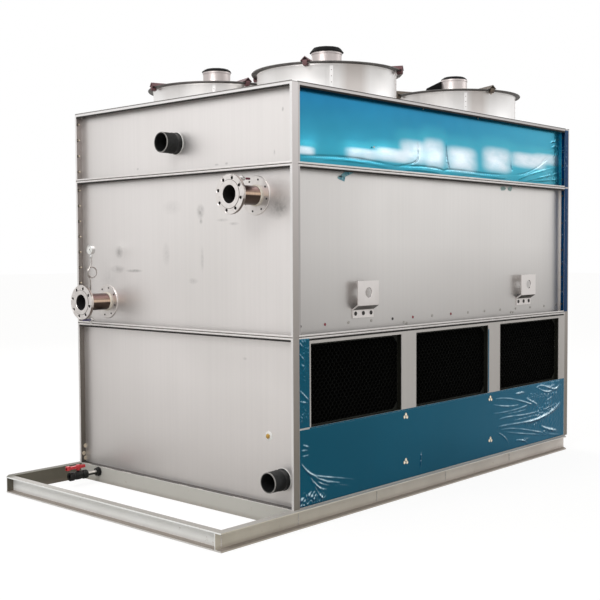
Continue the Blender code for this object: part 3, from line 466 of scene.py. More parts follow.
MATERIALS = {
    "sheet_end": sheet_finish("pipe_end_sheet", (0.86, 0.825, 0.81), (0.80, 0.77, 0.75), 0.40,
                              END_SMUDGES_AND_SHADOWS, FLANGE_SHADE_TONES, END_SHADES, END_LIP),
    "sheet_far": sheet_finish("far_end_sheet", (0.86, 0.825, 0.81), (0.80, 0.77, 0.75), 0.40,
                              (), FLANGE_SHADE_TONES, END_SHADES[1:], END_LIP),
    # The long sides get painted shade, darker towards the pipe end and towards the foot of the coil
    # storey
    "sheet": sheet_finish("casing_sheet", (0.81, 0.785, 0.765), (0.74, 0.715, 0.695), 0.36,
                          shades=(("X", -1.25, -0.45, 0.36), ("Z", 1.04, 1.55, 0.46)),
                          lip=SIDE_LIP),
    "sheet_frame": sheet_finish("frame_sheet", (0.62, 0.595, 0.57), (0.54, 0.515, 0.49), 0.40,
                                recess_shade=RECESS_SHADE_TONE),
    "sheet_roof": sheet_finish("roof_sheet", (0.56, 0.54, 0.53), (0.48, 0.465, 0.45), 0.40,
                               edge=ROOF_EDGE, shaded_ledges=False),
    "lug": sheet_finish("lug_sheet", (0.86, 0.82, 0.80), (0.80, 0.76, 0.74), 0.46),
    "lip": mottled("rail_lip", (0.82, 0.79, 0.775), (0.74, 0.71, 0.69), 0.45, 0.5, 30, 0.0001),
    "film_upper": film_finish("film_upper", (0.004, 0.165, 0.330), (0.006, 0.245, 0.440),
                              (0.026, 0.380, 0.560), 0.24, 0.12, UPPER_HIGHLIGHTS, (2.36, 2.05),
                              0.32),
    # The lower film is the same film as the upper, painted darker as a reflection of the darker
    # ground
    "film_lower": film_finish("film_lower", (0.003, 0.125, 0.210), (0.005, 0.145, 0.250),
                              (0.015, 0.185, 0.330), 0.24, 0.12),
    "film_dark": film_finish("film_dark", (0.003, 0.045, 0.110), (0.005, 0.065, 0.150),
                             (0.007, 0.085, 0.200), 0.30, 0.10),
    "film_navy": film_finish("film_navy", (0.001, 0.032, 0.100), (0.001, 0.036, 0.115),
                             (0.001, 0.042, 0.130), 0.45, 0.0),
    "torn": mottled("film_torn", (0.035, 0.250, 0.360), (0.300, 0.600, 0.640), 0.35, 0.0, 60),
    "scrap": mottled("film_scrap", (0.28, 0.48, 0.46), (0.45, 0.60, 0.58), 0.4, 0.0, 60),
    "channel": channel_finish(),
    "louvre": mottled("inlet_louvre", (0.0032, 0.0034, 0.0026), (0.0022, 0.0022, 0.0017), 0.7,
                      Specular_IOR_Level=0.15),
    "louvre_frame": mottled("inlet_frame_dark", (0.026, 0.027, 0.021), (0.016, 0.017, 0.014), 0.7,
                            Specular_IOR_Level=0.2),
    "eliminator": mottled("eliminator", (0.035, 0.035, 0.037), (0.02, 0.02, 0.022), 0.5),
    "cowl": rolled_finish("cowl_sheet", (0.98, 0.965, 0.955), (0.92, 0.90, 0.885), 0.34,
                          COWL_REFLECTION_BANDS),
    # The cowls' flared lip, painted dark as the shade under it
    "rim": mottled("rim_sheet", (0.17, 0.162, 0.155), (0.11, 0.104, 0.10), 0.42, 0.85, 12),
    "blade": brushed("blade_metal", (0.62, 0.62, 0.62), (0.5, 0.5, 0.5), 0.34, (12, 1, 1)),
    "motor": rolled_finish("motor_shell", (0.62, 0.56, 0.545), (0.44, 0.39, 0.38), 0.36),
    "cap": mottled("motor_cap", (0.004, 0.004, 0.004), (0.007, 0.0065, 0.0065), 0.60, 0.0, 60,
                   Specular_IOR_Level=0.12),
    "primer": mottled("red_brown_primer", (0.175, 0.080, 0.085), (0.110, 0.052, 0.056), 0.62,
                      0.1, 55),
    "primer_olive": mottled("olive_primer", (0.150, 0.115, 0.085), (0.085, 0.068, 0.052), 0.60,
                            0.1, 55),
    "nozzle": banded("turned_steel", (0.088, 0.062, 0.049), (0.160, 0.098, 0.092),
                     (0.80, 0.60, 0.45), 0.28),
    "flange_rim": banded("flange_rim", (0.24, 0.205, 0.185), (0.26, 0.225, 0.210),
                         (0.90, 0.84, 0.80), 0.30, -0.20, 0.35),
    "nipple": banded("nipple_pipe", (0.030, 0.028, 0.026), (0.62, 0.60, 0.57),
                     (0.72, 0.70, 0.67), 0.35, 0.10, 0.60),
    "flange": mottled("flange_steel", (0.84, 0.80, 0.775), (0.74, 0.70, 0.675), 0.36, 0.85, 24,
                      0.0002),
    # The flange's back, the same steel painted darker as shade
    "shaded_flange_back": mottled("shaded_flange_back", (0.50, 0.46, 0.43), (0.40, 0.36, 0.33), 0.45, 0.8, 24,
                           0.0002),
    "groove": mottled("flange_groove", (0.30, 0.27, 0.25), (0.22, 0.20, 0.18), 0.5, 0.6, 60),
    # Painted shade for bores and holes
    "bore": mottled("bore_shade", (0.012, 0.010, 0.009), (0.005, 0.004, 0.004), 0.8, 0.0, 70),
    "weld": mottled("weld_bead", (0.74, 0.71, 0.67), (0.52, 0.49, 0.46), 0.45, 0.5, 160, 0.001),
    "gasket": mottled("cream_gasket", (0.78, 0.73, 0.64), (0.68, 0.63, 0.54), 0.6, 0.0, 90),
    "sealant": mottled("white_sealant", (0.86, 0.86, 0.84), (0.74, 0.74, 0.72), 0.5, 0.0, 120),
    "seam": mottled("seam_line", (0.095, 0.080, 0.072), (0.055, 0.046, 0.042), 0.8, 0.0, 40),
    "shade": mottled("rail_shade", (0.024, 0.020, 0.018), (0.014, 0.012, 0.011), 0.9, 0.0, 40),
    "stub_edge": mottled("socket_edge", (0.30, 0.29, 0.275), (0.22, 0.21, 0.20), 0.5, 0.0, 60),
    "stub": mottled("black_socket", (0.017, 0.018, 0.018), (0.010, 0.010, 0.010), 0.48, 0.0, 60,
                    Specular_IOR_Level=0.3),
    "bolt": brushed("zinc_bolt", (0.52, 0.50, 0.47), (0.36, 0.34, 0.31), 0.34, (1, 1, 1)),
    "bolt_pale": brushed("pale_bolt", (0.88, 0.79, 0.63), (0.70, 0.61, 0.48), 0.40, (1, 1, 1)),
    "bolt_dark": mottled("dark_bolt", (0.055, 0.050, 0.048), (0.03, 0.028, 0.027), 0.45, 0.6, 90),
    "bolt_red": mottled("red_bolt", (0.34, 0.050, 0.070), (0.22, 0.03, 0.045), 0.5, 0.0, 90),
    "chrome": mottled("bright_fitting", (0.74, 0.74, 0.73), (0.62, 0.62, 0.61), 0.16, 0.95, 60,
                      0.0001),
    "tube": mottled("siphon_tube", (0.50, 0.47, 0.45), (0.36, 0.33, 0.31), 0.28, 0.9, 60,
                    0.0001),
    "brass": mottled("brass", (0.62, 0.42, 0.14), (0.48, 0.31, 0.09), 0.28, 0.95, 80),
    "dial": mottled("dial_face", (0.84, 0.84, 0.82), (0.80, 0.80, 0.78), 0.5, 0.0, 40, 0.0001),
    "ink": mottled("dial_ink", (0.02, 0.02, 0.02), (0.03, 0.03, 0.03), 0.6, 0.0, 90, 0.0001),
    "plastic": mottled("black_valve", (0.008, 0.008, 0.008), (0.005, 0.005, 0.005), 0.42, 0.0, 90,
                       0.0002, Specular_IOR_Level=0.3),
    "red": mottled("red_handle", (0.62, 0.025, 0.035), (0.50, 0.018, 0.026), 0.36, 0.0, 70,
                   0.0002, Coat_Weight=0.3),
    "lever_red": mottled("dark_red_lever", (0.17, 0.020, 0.050), (0.12, 0.014, 0.035), 0.45),
    "lever_blue": mottled("blue_lever", (0.075, 0.068, 0.165), (0.05, 0.045, 0.12), 0.45),
}


# Pieces
def shown(name, mesh, material, body="casing", angle=35.0):
    """A piece in the row frame that rides on a body, smooth except at its edges."""
    piece = bpy.data.objects.new(name, mesh)
    bpy.context.scene.collection.objects.link(piece)
    mesh.materials.clear()
    for entry in ([material] if isinstance(material, str) else material):
        mesh.materials.append(MATERIALS[entry])
    mesh.shade_smooth()
    mesh.set_sharp_from_angle(angle=math.radians(angle))
    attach(piece, body)
    return piece


def mesh_of(name, shape, matrix=None):
    mesh = bpy.data.meshes.new(name)
    if matrix is not None:
        bmesh.ops.transform(shape, matrix=matrix, verts=shape.verts)
    shape.to_mesh(mesh)
    shape.free()
    return mesh


def turned(profile, segments, closed=False):
    """A shape turned about Z from (radius, height) points: a ring when closed."""
    shape = bmesh.new()
    verts = [shape.verts.new((radius, 0, height)) for radius, height in profile]
    pairs = list(zip(verts, verts[1:]))
    if closed:
        pairs.append((verts[-1], verts[0]))
    edges = [shape.edges.new(pair) for pair in pairs]
    bmesh.ops.spin(shape, geom=verts + edges, axis=(0, 0, 1), cent=(0, 0, 0),
                   steps=segments, angle=2 * math.pi)
    bmesh.ops.remove_doubles(shape, verts=shape.verts, dist=0.00002)
    bmesh.ops.recalc_face_normals(shape, faces=shape.faces)
    return shape


def block(low, high, bevel=0.0):
    """A box from corner to corner with eased edges."""
    shape = bmesh.new()
    bmesh.ops.create_cube(shape, size=1.0)
    low, high = Vector(low), Vector(high)
    bmesh.ops.scale(shape, vec=high - low, verts=shape.verts)
    bmesh.ops.translate(shape, vec=(low + high) / 2, verts=shape.verts)
    if bevel:
        bmesh.ops.bevel(shape, geom=shape.edges[:], offset=bevel, segments=2, profile=0.5,
                        affect='EDGES')
    return shape


def together(shapes):
    """Several shapes as one."""
    whole = bmesh.new()
    for shape in shapes:
        mesh = bpy.data.meshes.new("part")
        shape.to_mesh(mesh)
        shape.free()
        whole.from_mesh(mesh)
        bpy.data.meshes.remove(mesh)
    return whole


def moved(shape, matrix):
    bmesh.ops.transform(shape, matrix=matrix, verts=shape.verts)
    return shape


def copies(name, shape, matrices, material, body="casing"):
    """One piece made of a shape repeated at each matrix."""
    points = np.array([v.co for v in shape.verts])
    faces = [[v.index for v in f.verts] for f in shape.faces]
    shape.free()
    all_points = []
    all_faces = []
    for count, matrix in enumerate(matrices):
        turn = np.array(matrix.to_3x3())
        all_points.append(points @ turn.T + np.array(matrix.translation))
        start = count * len(points)
        all_faces.extend([[start + i for i in face] for face in faces])
    mesh = bpy.data.meshes.new(name)
    mesh.from_pydata(np.concatenate(all_points).tolist(), [], all_faces)
    mesh.update()
    return shown(name, mesh, material, body)


def finish_node(node, material):
    """A solid whose shape is right keeps it and takes a finish."""
    NODES[node].data.materials.clear()
    NODES[node].data.materials.append(MATERIALS[material])


def eased(node, material, width=0.0010):
    """The node's own shape with small rolled edges, which stands for the node."""
    shape = bmesh.new()
    shape.from_mesh(NODES[node].data)
    bmesh.ops.remove_doubles(shape, verts=shape.verts, dist=0.00002)
    bmesh.ops.dissolve_limit(shape, angle_limit=math.radians(1.0), verts=shape.verts,
                             edges=shape.edges)
    piece = shown(node + "_eased", mesh_of(node + "_eased", shape), material, "casing")
    bevel = piece.modifiers.new("eased_edges", 'BEVEL')
    bevel.width = width
    bevel.segments = 2
    bevel.limit_method = 'ANGLE'
    bevel.angle_limit = math.radians(40.0)
    bevel.use_clamp_overlap = True
    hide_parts(node)
    return piece


def wire(name, points, radius, material, body="casing", sides=4):
    """A tube along points, as a curve with round ends."""
    curve = bpy.data.curves.new(name, 'CURVE')
    curve.dimensions = '3D'
    curve.bevel_depth = radius
    curve.bevel_resolution = sides
    curve.use_fill_caps = True
    spline = curve.splines.new('POLY')
    spline.points.add(len(points) - 1)
    for point, place in zip(spline.points, points):
        point.co = (*place, 1)
    curve.materials.append(MATERIALS[material])
    piece = bpy.data.objects.new(name, curve)
    bpy.context.scene.collection.objects.link(piece)
    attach(piece, body)
    return piece


# Bolts
BOLT_PITCH = 0.105
BOLT_HEAD_RADIUS = 0.0095
BOLT_HEAD_H = 0.0065
WASHER_RADIUS = 0.0120
WASHER_T = 0.0020


def bolt_shape(scale=1.0, nut_side=False):
    """A hex head on its washer along +Z; the nut side also shows the thread's end."""
    head = BOLT_HEAD_RADIUS * scale
    height = BOLT_HEAD_H * scale
    washer = [(0, 0), (WASHER_RADIUS * scale, 0), (WASHER_RADIUS * scale, WASHER_T * 0.8),
              (WASHER_RADIUS * scale * 0.96, WASHER_T), (0, WASHER_T)]
    hexagon = [(0, WASHER_T * 0.9), (head, WASHER_T * 0.9), (head, WASHER_T + height * 0.84),
               (head * 0.87, WASHER_T + height), (0, WASHER_T + height)]
    shapes = [turned(washer, 16), turned(hexagon, 6)]
    if nut_side:
        stem = head * 0.55
        top = WASHER_T + height * 1.9
        shapes.append(turned([(0, WASHER_T), (stem, WASHER_T), (stem, top - 0.001),
                              (stem * 0.8, top), (0, top)], 10))
    return together(shapes)


def screw_shape(radius=0.006, height=0.003):
    """A pan-head screw along +Z."""
    return turned([(0, 0), (radius, 0), (radius, height * 0.45), (radius * 0.82, height * 0.85),
                   (radius * 0.5, height), (0, height)], 12)


def spread(low, high, pitch):
    """Even places between two ends, about one pitch apart."""
    count = max(1, round((high - low) / pitch))
    return [low + (high - low) * (i + 0.5) / count for i in range(count)]


def facing(side, x, out, z):
    """Matrix of a fastener at local x and height z whose seat is out of the side's plane."""
    return FACES[side] @ Matrix.Translation((x, -out, z)) @ OUTWARD


STOREY_NODES = {
    "front": ["front_panel_coil", "front_panel_fan"],
    "back": ["back_panel_coil", "back_panel_fan"],
    "pipe": ["end_panel_pipe_lower", "end_panel_pipe_coil", "end_panel_pipe_fan"],
    "far": ["end_panel_far_lower", "end_panel_far_coil", "end_panel_far_fan"],
}
FLANGE_MIDDLE = -0.026
END_BOLT_DEPTH = 0.0165
END_STUD_L = 0.022


def flange_bolts():
    """Bolts through the side flanges of every tray, with their heads inside the tray. On the
    pipe end they are longer, nearer its edge, and stop above the lowest tray."""
    for side, nodes in STOREY_NODES.items():
        matrices = []
        inner = REACHES[side] - FLANGE_T
        long_bolts = side == "pipe"
        depth = END_BOLT_DEPTH if long_bolts else -FLANGE_MIDDLE
        for node in nodes[1:] if long_bolts else nodes:
            low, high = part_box(node)
            for z in spread(low.z + 0.01, high.z - 0.01, BOLT_PITCH):
                for end in (-1, 1):
                    turn = Matrix.Rotation(-end * math.pi / 2, 4, 'Y')
                    place = Matrix.Translation((end * inner, depth, z))
                    matrices.append(FACES[side] @ place @ turn)
        copies(f"flange_bolts_{side}", bolt_shape(0.72 if long_bolts else 0.68), matrices,
               "bolt_dark")
        if long_bolts:
            stem = turned([(0, 0.006), (0.0048, 0.006), (0.0048, END_STUD_L - 0.001),
                           (0.0036, END_STUD_L), (0, END_STUD_L)], 12)
            copies("flange_studs_pipe", stem, matrices, "bolt_pale")


def rail_bolts():
    """Bolts through the flanges between two storeys, shown by their nuts above."""
    for side, nodes in STOREY_NODES.items():
        matrices = []
        reach = REACHES[side] - 0.04
        for node in nodes[1:]:
            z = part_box(node)[0].z + FLANGE_T
            for x in spread(-reach, reach, 0.21):
                matrices.append(FACES[side] @ Matrix.Translation((x, 0.028, z)))
        copies(f"rail_bolts_{side}", bolt_shape(0.8), matrices, "bolt")


# Rows of screws read from the photograph, in metres from the middle of the long side
COIL_ROW_RISE = 0.054
COIL_ROW = (-1.431, -1.224, -1.016, -0.804, -0.596, -0.387, -0.179, 0.033, 0.236, 0.441,
            0.645, 0.852, 1.057, 1.260, 1.440)
COIL_ROW_RED = (1, 5, 7)
COIL_ROW_DARK = (0, 4)
COIL_PAIRS = ((-0.484, 0.027), (-0.453, 0.019), (0.786, 0.030), (0.814, 0.028))
CLUSTERS = ((-0.525, 0.395), (-0.525, 0.114), (0.444, 0.397), (0.446, 0.113))
CLUSTER_SPREAD = ((0.000, 0.011), (0.012, -0.007), (-0.014, -0.004))


def side_screws():
    """The screw row over the inlets, and the three-screw groups in the basin panels."""
    coil_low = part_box("front_panel_coil")[0].z
    basin_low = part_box("front_basin_panel")[0].z
    for side in ("front", "back"):
        groups = {"bolt": [], "bolt_red": [], "bolt_dark": []}
        for i, x in enumerate(COIL_ROW):
            kind = "bolt_red" if i in COIL_ROW_RED else "bolt_dark" if i in COIL_ROW_DARK else "bolt"
            groups[kind].append(facing(side, x, -SHEET_BACK, coil_low + COIL_ROW_RISE))
        for x, rise in COIL_PAIRS:
            groups["bolt"].append(facing(side, x, -SHEET_BACK, coil_low + rise))
        for kind, matrices in groups.items():
            copies(f"coil_row_{kind}_{side}", bolt_shape(0.72), matrices, kind)
        ends = [facing(side, x + dx, 0.001, basin_low + z + dz)
                for x, z in CLUSTERS for dx, dz in CLUSTER_SPREAD]
        copies(f"basin_screws_{side}", bolt_shape(0.9, True), ends, "bolt_pale")
        studs = [facing(side, x, proud - SHEET_BACK, z) for x, z, proud in TOP_SCREWS]
        copies(f"top_screws_{side}", bolt_shape(0.5), studs, "bolt")


# Odd screws high on the long sides, the last one through the lifted film: x, z, how far out
TOP_SCREWS = ((-0.278, 2.399, 0.0), (0.350, 2.398, 0.0), (-0.792, 2.123, 0.012))
# Clips low on the far flange of the pipe end: depth, z
END_CLIPS = ((0.044, 0.209), (0.031, 0.159), (0.044, 0.126))


def end_clips():
    matrices = [Matrix.Translation((DECK_LOW.x + depth, HALF_WIDTH - FLANGE_T, z)) @ OUTWARD
                for depth, z in END_CLIPS]
    copies("end_clips", bolt_shape(1.2), matrices, "bolt_pale")


def deck_screws():
    """Pan heads along the edge of the roof deck."""
    top = DECK_HIGH.z
    inset = 0.016
    matrices = []
    for x in spread(DECK_LOW.x + inset, DECK_HIGH.x - inset, BOLT_PITCH):
        for y in (DECK_LOW.y + inset, DECK_HIGH.y - inset):
            matrices.append(Matrix.Translation((x, y, top)))
    for y in spread(DECK_LOW.y + inset, DECK_HIGH.y - inset, BOLT_PITCH):
        for x in (DECK_LOW.x + inset, DECK_HIGH.x - inset):
            matrices.append(Matrix.Translation((x, y, top)))
    copies("deck_screws", screw_shape(0.0065, 0.0045), matrices, "bolt_dark")


# Weld beads
def bead_line(start, end, pitch, size, seed):
    """Overlapping flattened weld ripples between two points, as matrices."""
    draw = random.Random(seed)
    start, end = Vector(start), Vector(end)
    count = max(2, int((end - start).length / pitch))
    matrices = []
    for i in range(count + 1):
        place = start.lerp(end, i / count)
        scale = size * draw.uniform(0.75, 1.2)
        matrices.append(Matrix.Translation(place) @ Matrix.Diagonal((scale, scale, scale, 1)))
    return matrices


def bead_shape():
    shape = bmesh.new()
    bmesh.ops.create_icosphere(shape, subdivisions=2, radius=1.0)
    return shape


def weld_beads():
    skid_low, skid_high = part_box("skid_side_front")
    cross_low, cross_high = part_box("skid_cross_beam")
    end_low, end_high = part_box("skid_end_pipe_side")
    size = 0.0042
    lines = []
    for sign in (-1, 1):
        outer = sign * abs(skid_low.y)
        inner = sign * abs(skid_high.y)
        lines.append(((cross_low.x, inner, 0.010), (cross_low.x, inner, 0.090)))
        web = outer - sign * 0.044
        for mark in SKID_MARKS:
            lines.append(((mark, web, 0.016), (mark, web, 0.086)))
    top = cross_high.z
    for low, high in SEAM_WELDS:
        lines.append(((cross_high.x - 0.0465, low, top + 0.001),
                      (cross_high.x - 0.0465, high, top + 0.001)))
    matrices = []
    for number, (start, end) in enumerate(lines):
        matrices += bead_line(start, end, 0.0055, size, number)
    copies("weld_beads", bead_shape(), matrices, "weld")


# Weld runs read from the photograph: marks on the skid's side, and stitches along the pipe end
SKID_MARKS = (-1.785, -1.205, -0.511, 0.213, 1.002)
SEAM_WELDS = ((-0.93, -0.80), (-0.62, -0.50), (-0.24, -0.19), (-0.10, -0.03), (0.18, 0.30),
              (0.44, 0.52), (0.62, 0.74), (0.86, 0.94))


# Protective film
FILM_STEP = 0.005
FILM_BASE = 0.0007
# Steepness past which film slopes get painted highlight and painted shade
HIGHLIGHT_SLOPE_START = 0.12
FOLD_REACH = 0.40
SHADE_SLOPE_START = 0.20


def smooth_path(points, samples=48):
    """A smooth curve through a few given points."""
    share = np.linspace(0, 1, len(points))
    degree = min(3, len(points) - 1)
    fine = np.linspace(0, 1, samples)
    return [np.polyval(np.polyfit(share, [p[i] for p in points], degree), fine) for i in (0, 1)]


def add_crease(field, across, up, points, width, height, seed):
    """Raises a crease along a path; it thins towards both ends and breaks up a little."""
    line_x, line_z = smooth_path(points)
    draw = np.random.default_rng(seed)
    share = np.linspace(0, 1, len(line_x))
    phase = draw.uniform(0, 2 * math.pi, 3)
    ripple = 0.75 + 0.25 * np.sin(share * 21 + phase[0]) * np.sin(share * 9 + phase[1])
    taper = np.sin(math.pi * np.clip(share * 0.94 + 0.03, 0, 1)) ** 0.5 * ripple
    margin = 3 * width
    near = ((across > line_x.min() - margin) & (across < line_x.max() + margin)
            & (up > line_z.min() - margin) & (up < line_z.max() + margin))
    if not near.any():
        return
    x = across[near]
    z = up[near]
    best = np.zeros(len(x))
    for i in range(len(line_x)):
        away = (x - line_x[i]) ** 2 + (z - line_z[i]) ** 2
        best = np.maximum(best, taper[i] * np.exp(-away / width ** 2))
    field[near] += height * best


def crinkle(across, up, seed, size, count=14):
    """Cheap smooth noise from seeded waves, from -1 to 1."""
    draw = np.random.default_rng(seed)
    total = np.zeros_like(across)
    for _ in range(count):
        angle = draw.uniform(0, 2 * math.pi)
        length = size * draw.uniform(0.6, 1.7)
        wave = (across * math.cos(angle) + up * math.sin(angle)) * 2 * math.pi / length
        total += np.sin(wave + draw.uniform(0, 2 * math.pi))
    return total / count ** 0.5 / 1.5


def film_height(across, up, box_low, box_high, features, seed):
    field = np.full_like(across, FILM_BASE)
    field += 0.00020 * crinkle(across, up, seed, 0.16)
    for x, z, reach_x, reach_z, height in features.get("bulges", ()):
        field += height * np.exp(-((across - x) / reach_x) ** 2 - ((up - z) / reach_z) ** 2)
    for x, z, reach_x, reach_z, height, size in features.get("crumples", ()):
        window = np.exp(-((across - x) / reach_x) ** 2 - ((up - z) / reach_z) ** 2)
        rough = np.abs(crinkle(across, up, seed + 7, size))
        field += height * window * rough
    for number, (points, width, height) in enumerate(features.get("creases", ())):
        add_crease(field, across, up, points, width, height, seed + 11 * number)
    edge = np.minimum.reduce([across - box_low[0], box_high[0] - across,
                              up - box_low[1], box_high[1] - up])
    fade = np.clip(edge / 0.006, 0, 1)
    return SKIN_GAP + np.maximum(field, 0.0002) * (0.25 + 0.75 * fade * fade * (3 - 2 * fade))


def film(name, matrix, low, high, features, material, seed, step=FILM_STEP):
    """A closed skin on a flat face: local x and z along it, standing out towards -y."""
    columns = max(3, int((high[0] - low[0]) / step))
    rows = max(3, int((high[1] - low[1]) / step))
    across, up = np.meshgrid(np.linspace(low[0], high[0], columns),
                             np.linspace(low[1], high[1], rows))
    out = film_height(across, up, low, high, features, seed)
    slope = -np.gradient(out, up[:, 0], axis=0)
    lean = np.abs(np.gradient(out, across[0], axis=1))
    # Slopes that face up get painted highlight, slopes that face down or sideways painted shade
    lit_slope = np.clip((slope - HIGHLIGHT_SLOPE_START) / FOLD_REACH, 0, 1)
    shaded_slope = np.clip((np.maximum(-slope, lean) - SHADE_SLOPE_START) / FOLD_REACH, 0, 1)
    front = np.stack([across, -out, up], axis=-1).reshape(-1, 3)
    index = np.arange(rows * columns).reshape(rows, columns)
    quads = np.stack([index[:-1, :-1], index[:-1, 1:], index[1:, 1:], index[1:, :-1]],
                     axis=-1).reshape(-1, 4)
    rim = np.concatenate([index[0, :-1], index[:-1, -1], index[-1, :0:-1], index[:0:-1, 0]])
    under = front[rim].copy()
    under[:, 1] = -SKIN_GAP / 2
    base = len(front)
    faces = quads.tolist()
    count = len(rim)
    for i in range(count):
        after = (i + 1) % count
        faces.append([int(rim[after]), int(rim[i]), base + i, base + after])
    faces.append([base + i for i in reversed(range(count))])
    mesh = bpy.data.meshes.new(name)
    mesh.from_pydata(np.concatenate([front, under]).tolist(), [], faces)
    for kept, values in (("lit_slope", lit_slope), ("shaded_slope", shaded_slope)):
        layer = mesh.attributes.new(kept, 'FLOAT', 'POINT')
        layer.data.foreach_set("value", np.concatenate([values.ravel(), np.zeros(count)]))
    mesh.transform(matrix)
    mesh.update()
    return shown(name, mesh, material, "casing", 60.0)


# The upper film hangs loose along its foot: air pockets between creases, then a folded edge.
# Each pocket is its middle along the side, its width and how far it stands out.
UPPER_POCKETS = ((-1.37, 0.09, 0.0075), (-0.94, 0.15, 0.0085), (-0.66, 0.13, 0.0100),
                 (-0.33, 0.11, 0.0125), (-0.15, 0.09, 0.0125), (0.145, 0.17, 0.0125),
                 (0.59, 0.14, 0.0140), (0.96, 0.15, 0.0115), (1.22, 0.12, 0.0110))
UPPER_CREASES = (
    (((-0.3385, 2.181), (-0.3405, 2.120), (-0.3500, 2.078), (-0.4055, 2.051), (-0.5225, 2.032)),
     0.005, -0.0050),
    (((-0.0235, 2.147), (-0.0175, 2.097), (0.0055, 2.034)), 0.005, -0.0060),
    (((0.7905, 2.191), (0.7725, 2.119), (0.7855, 2.074)), 0.006, -0.0075),
    (((-1.4355, 2.028), (-1.1365, 2.045), (-0.8685, 2.043), (-0.5825, 2.022)), 0.006, -0.0045),
    (((-1.2355, 2.022), (-0.9865, 2.028), (-0.6685, 2.014)), 0.005, 0.0020),
    (((-0.5825, 2.022), (-0.2745, 2.037), (-0.0565, 2.024)), 0.006, -0.0045),
    (((-0.4825, 2.008), (-0.2745, 2.014), (-0.1065, 2.006)), 0.005, 0.0020),
    (((-0.0565, 2.024), (0.1095, 2.036), (0.4475, 2.033), (0.7605, 2.043)), 0.006, -0.0050),
    (((0.1565, 2.016), (0.3095, 2.020), (0.5475, 2.014), (0.7005, 2.020)), 0.005, 0.0020),
    (((0.7605, 2.043), (1.0025, 2.079), (1.2025, 2.138), (1.3805, 2.231), (1.4795, 2.266)),
     0.005, -0.0050),
    (((1.2015, 2.151), (1.3245, 2.220), (1.3805, 2.238)), 0.005, -0.0055),
    (((0.8745, 2.020), (1.1355, 2.080), (1.4815, 2.141)), 0.006, 0.0038),
    (((0.9385, 2.003), (1.2715, 2.060), (1.4825, 2.092)), 0.006, 0.0036),
    (((1.2015, 2.219), (1.3525, 2.260)), 0.005, -0.0045),
    (((1.0500, 2.012), (1.3000, 2.030), (1.4800, 2.046)), 0.005, 0.0035),
    (((-0.0335, 2.287), (-0.0285, 2.160), (-0.0335, 2.040)), 0.004, -0.0045),
    (((-0.0335, 2.250), (-0.0235, 2.190), (-0.0100, 2.120)), 0.004, 0.0030),
    (((1.3300, 2.300), (1.3900, 2.322), (1.4500, 2.300)), 0.004, 0.0045),
    (((1.3500, 2.270), (1.4200, 2.290), (1.4800, 2.262)), 0.004, 0.0045),
    (((1.3800, 2.340), (1.4300, 2.330), (1.4790, 2.345)), 0.004, 0.0040),
)
LOWER_CREASES = (
    (((-1.4885, 0.355), (-1.4185, 0.286), (-1.2935, 0.220), (-1.0625, 0.154)), 0.0055, 0.0058),
    (((-1.4285, 0.294), (-1.3425, 0.257), (-1.2045, 0.225), (-1.0305, 0.185)), 0.005, 0.0050),
    (((-1.4745, 0.333), (-1.3615, 0.238), (-1.2845, 0.199), (-1.1235, 0.158)), 0.005, 0.0048),
    (((-1.4185, 0.261), (-1.3425, 0.196), (-1.2745, 0.171)), 0.005, 0.0055),
    (((-1.3995, 0.245), (-1.3385, 0.157), (-1.2945, 0.123)), 0.005, 0.0045),
    (((-1.4645, 0.446), (-1.4175, 0.429)), 0.006, 0.0045),
    (((-1.4835, 0.417), (-1.4275, 0.415)), 0.005, 0.0035),
    (((-1.4745, 0.384), (-1.4185, 0.385)), 0.005, 0.0035),
    (((-0.3655, 0.244), (-0.3690, 0.200), (-0.3725, 0.149)), 0.005, 0.0070),
    (((0.4685, 0.450), (0.6635, 0.417), (0.8245, 0.409)), 0.005, 0.0048),
    (((0.5065, 0.483), (0.7565, 0.455), (0.9635, 0.404), (1.0775, 0.387)), 0.006, 0.0060),
    (((0.4825, 0.386), (0.6905, 0.379), (0.9075, 0.389), (1.0475, 0.423)), 0.005, 0.0050),
    (((0.5595, 0.336), (0.7575, 0.336), (1.0065, 0.327), (1.3585, 0.359)), 0.006, 0.0058),
    (((0.5465, 0.285), (0.7585, 0.279), (0.9645, 0.274), (1.1795, 0.291), (1.4195, 0.360)),
     0.007, 0.0070),
    (((0.9225, 0.261), (1.0785, 0.274), (1.2535, 0.297), (1.4195, 0.352)), 0.009, 0.0085),
    (((0.5795, 0.260), (0.8265, 0.235), (1.1085, 0.176), (1.4075, 0.120)), 0.006, 0.0055),
    (((0.5995, 0.247), (0.9655, 0.180), (1.4075, 0.117)), 0.005, 0.0050),
    (((1.1375, 0.216), (1.2555, 0.178), (1.3915, 0.149)), 0.009, 0.0080),
    (((0.5475, 0.244), (0.6255, 0.206), (0.6795, 0.156)), 0.005, 0.0045),
    (((0.7865, 0.159), (0.8825, 0.145), (0.9385, 0.119)), 0.006, 0.0050),
    (((0.7695, 0.493), (0.8785, 0.492)), 0.006, 0.0050),
    (((1.0755, 0.507), (1.1915, 0.506), (1.3115, 0.476), (1.4175, 0.503)), 0.006, 0.0060),
    (((1.0755, 0.507), (1.1775, 0.471), (1.2665, 0.462), (1.4015, 0.482)), 0.006, 0.0060),
    (((0.9345, 0.439), (1.0775, 0.384)), 0.008, 0.0065),
    (((-1.4385, 0.316), (-1.3405, 0.246), (-1.2285, 0.206), (-1.1385, 0.184)), 0.004, 0.0040),
    (((-1.4245, 0.276), (-1.3605, 0.214), (-1.3045, 0.158)), 0.004, 0.0040),
    (((0.6205, 0.368), (0.8035, 0.360), (0.9605, 0.368)), 0.004, 0.0035),
    (((0.7005, 0.310), (0.8705, 0.304), (1.0305, 0.309)), 0.004, 0.0035),
    (((1.1905, 0.395), (1.2705, 0.410), (1.3605, 0.440)), 0.004, 0.0040),
) + tuple((((1.06 + 0.026 * i, 0.264 + 0.0065 * i), (1.035 + 0.026 * i, 0.228 + 0.0075 * i)),
           0.0040, 0.0036) for i in range(13))
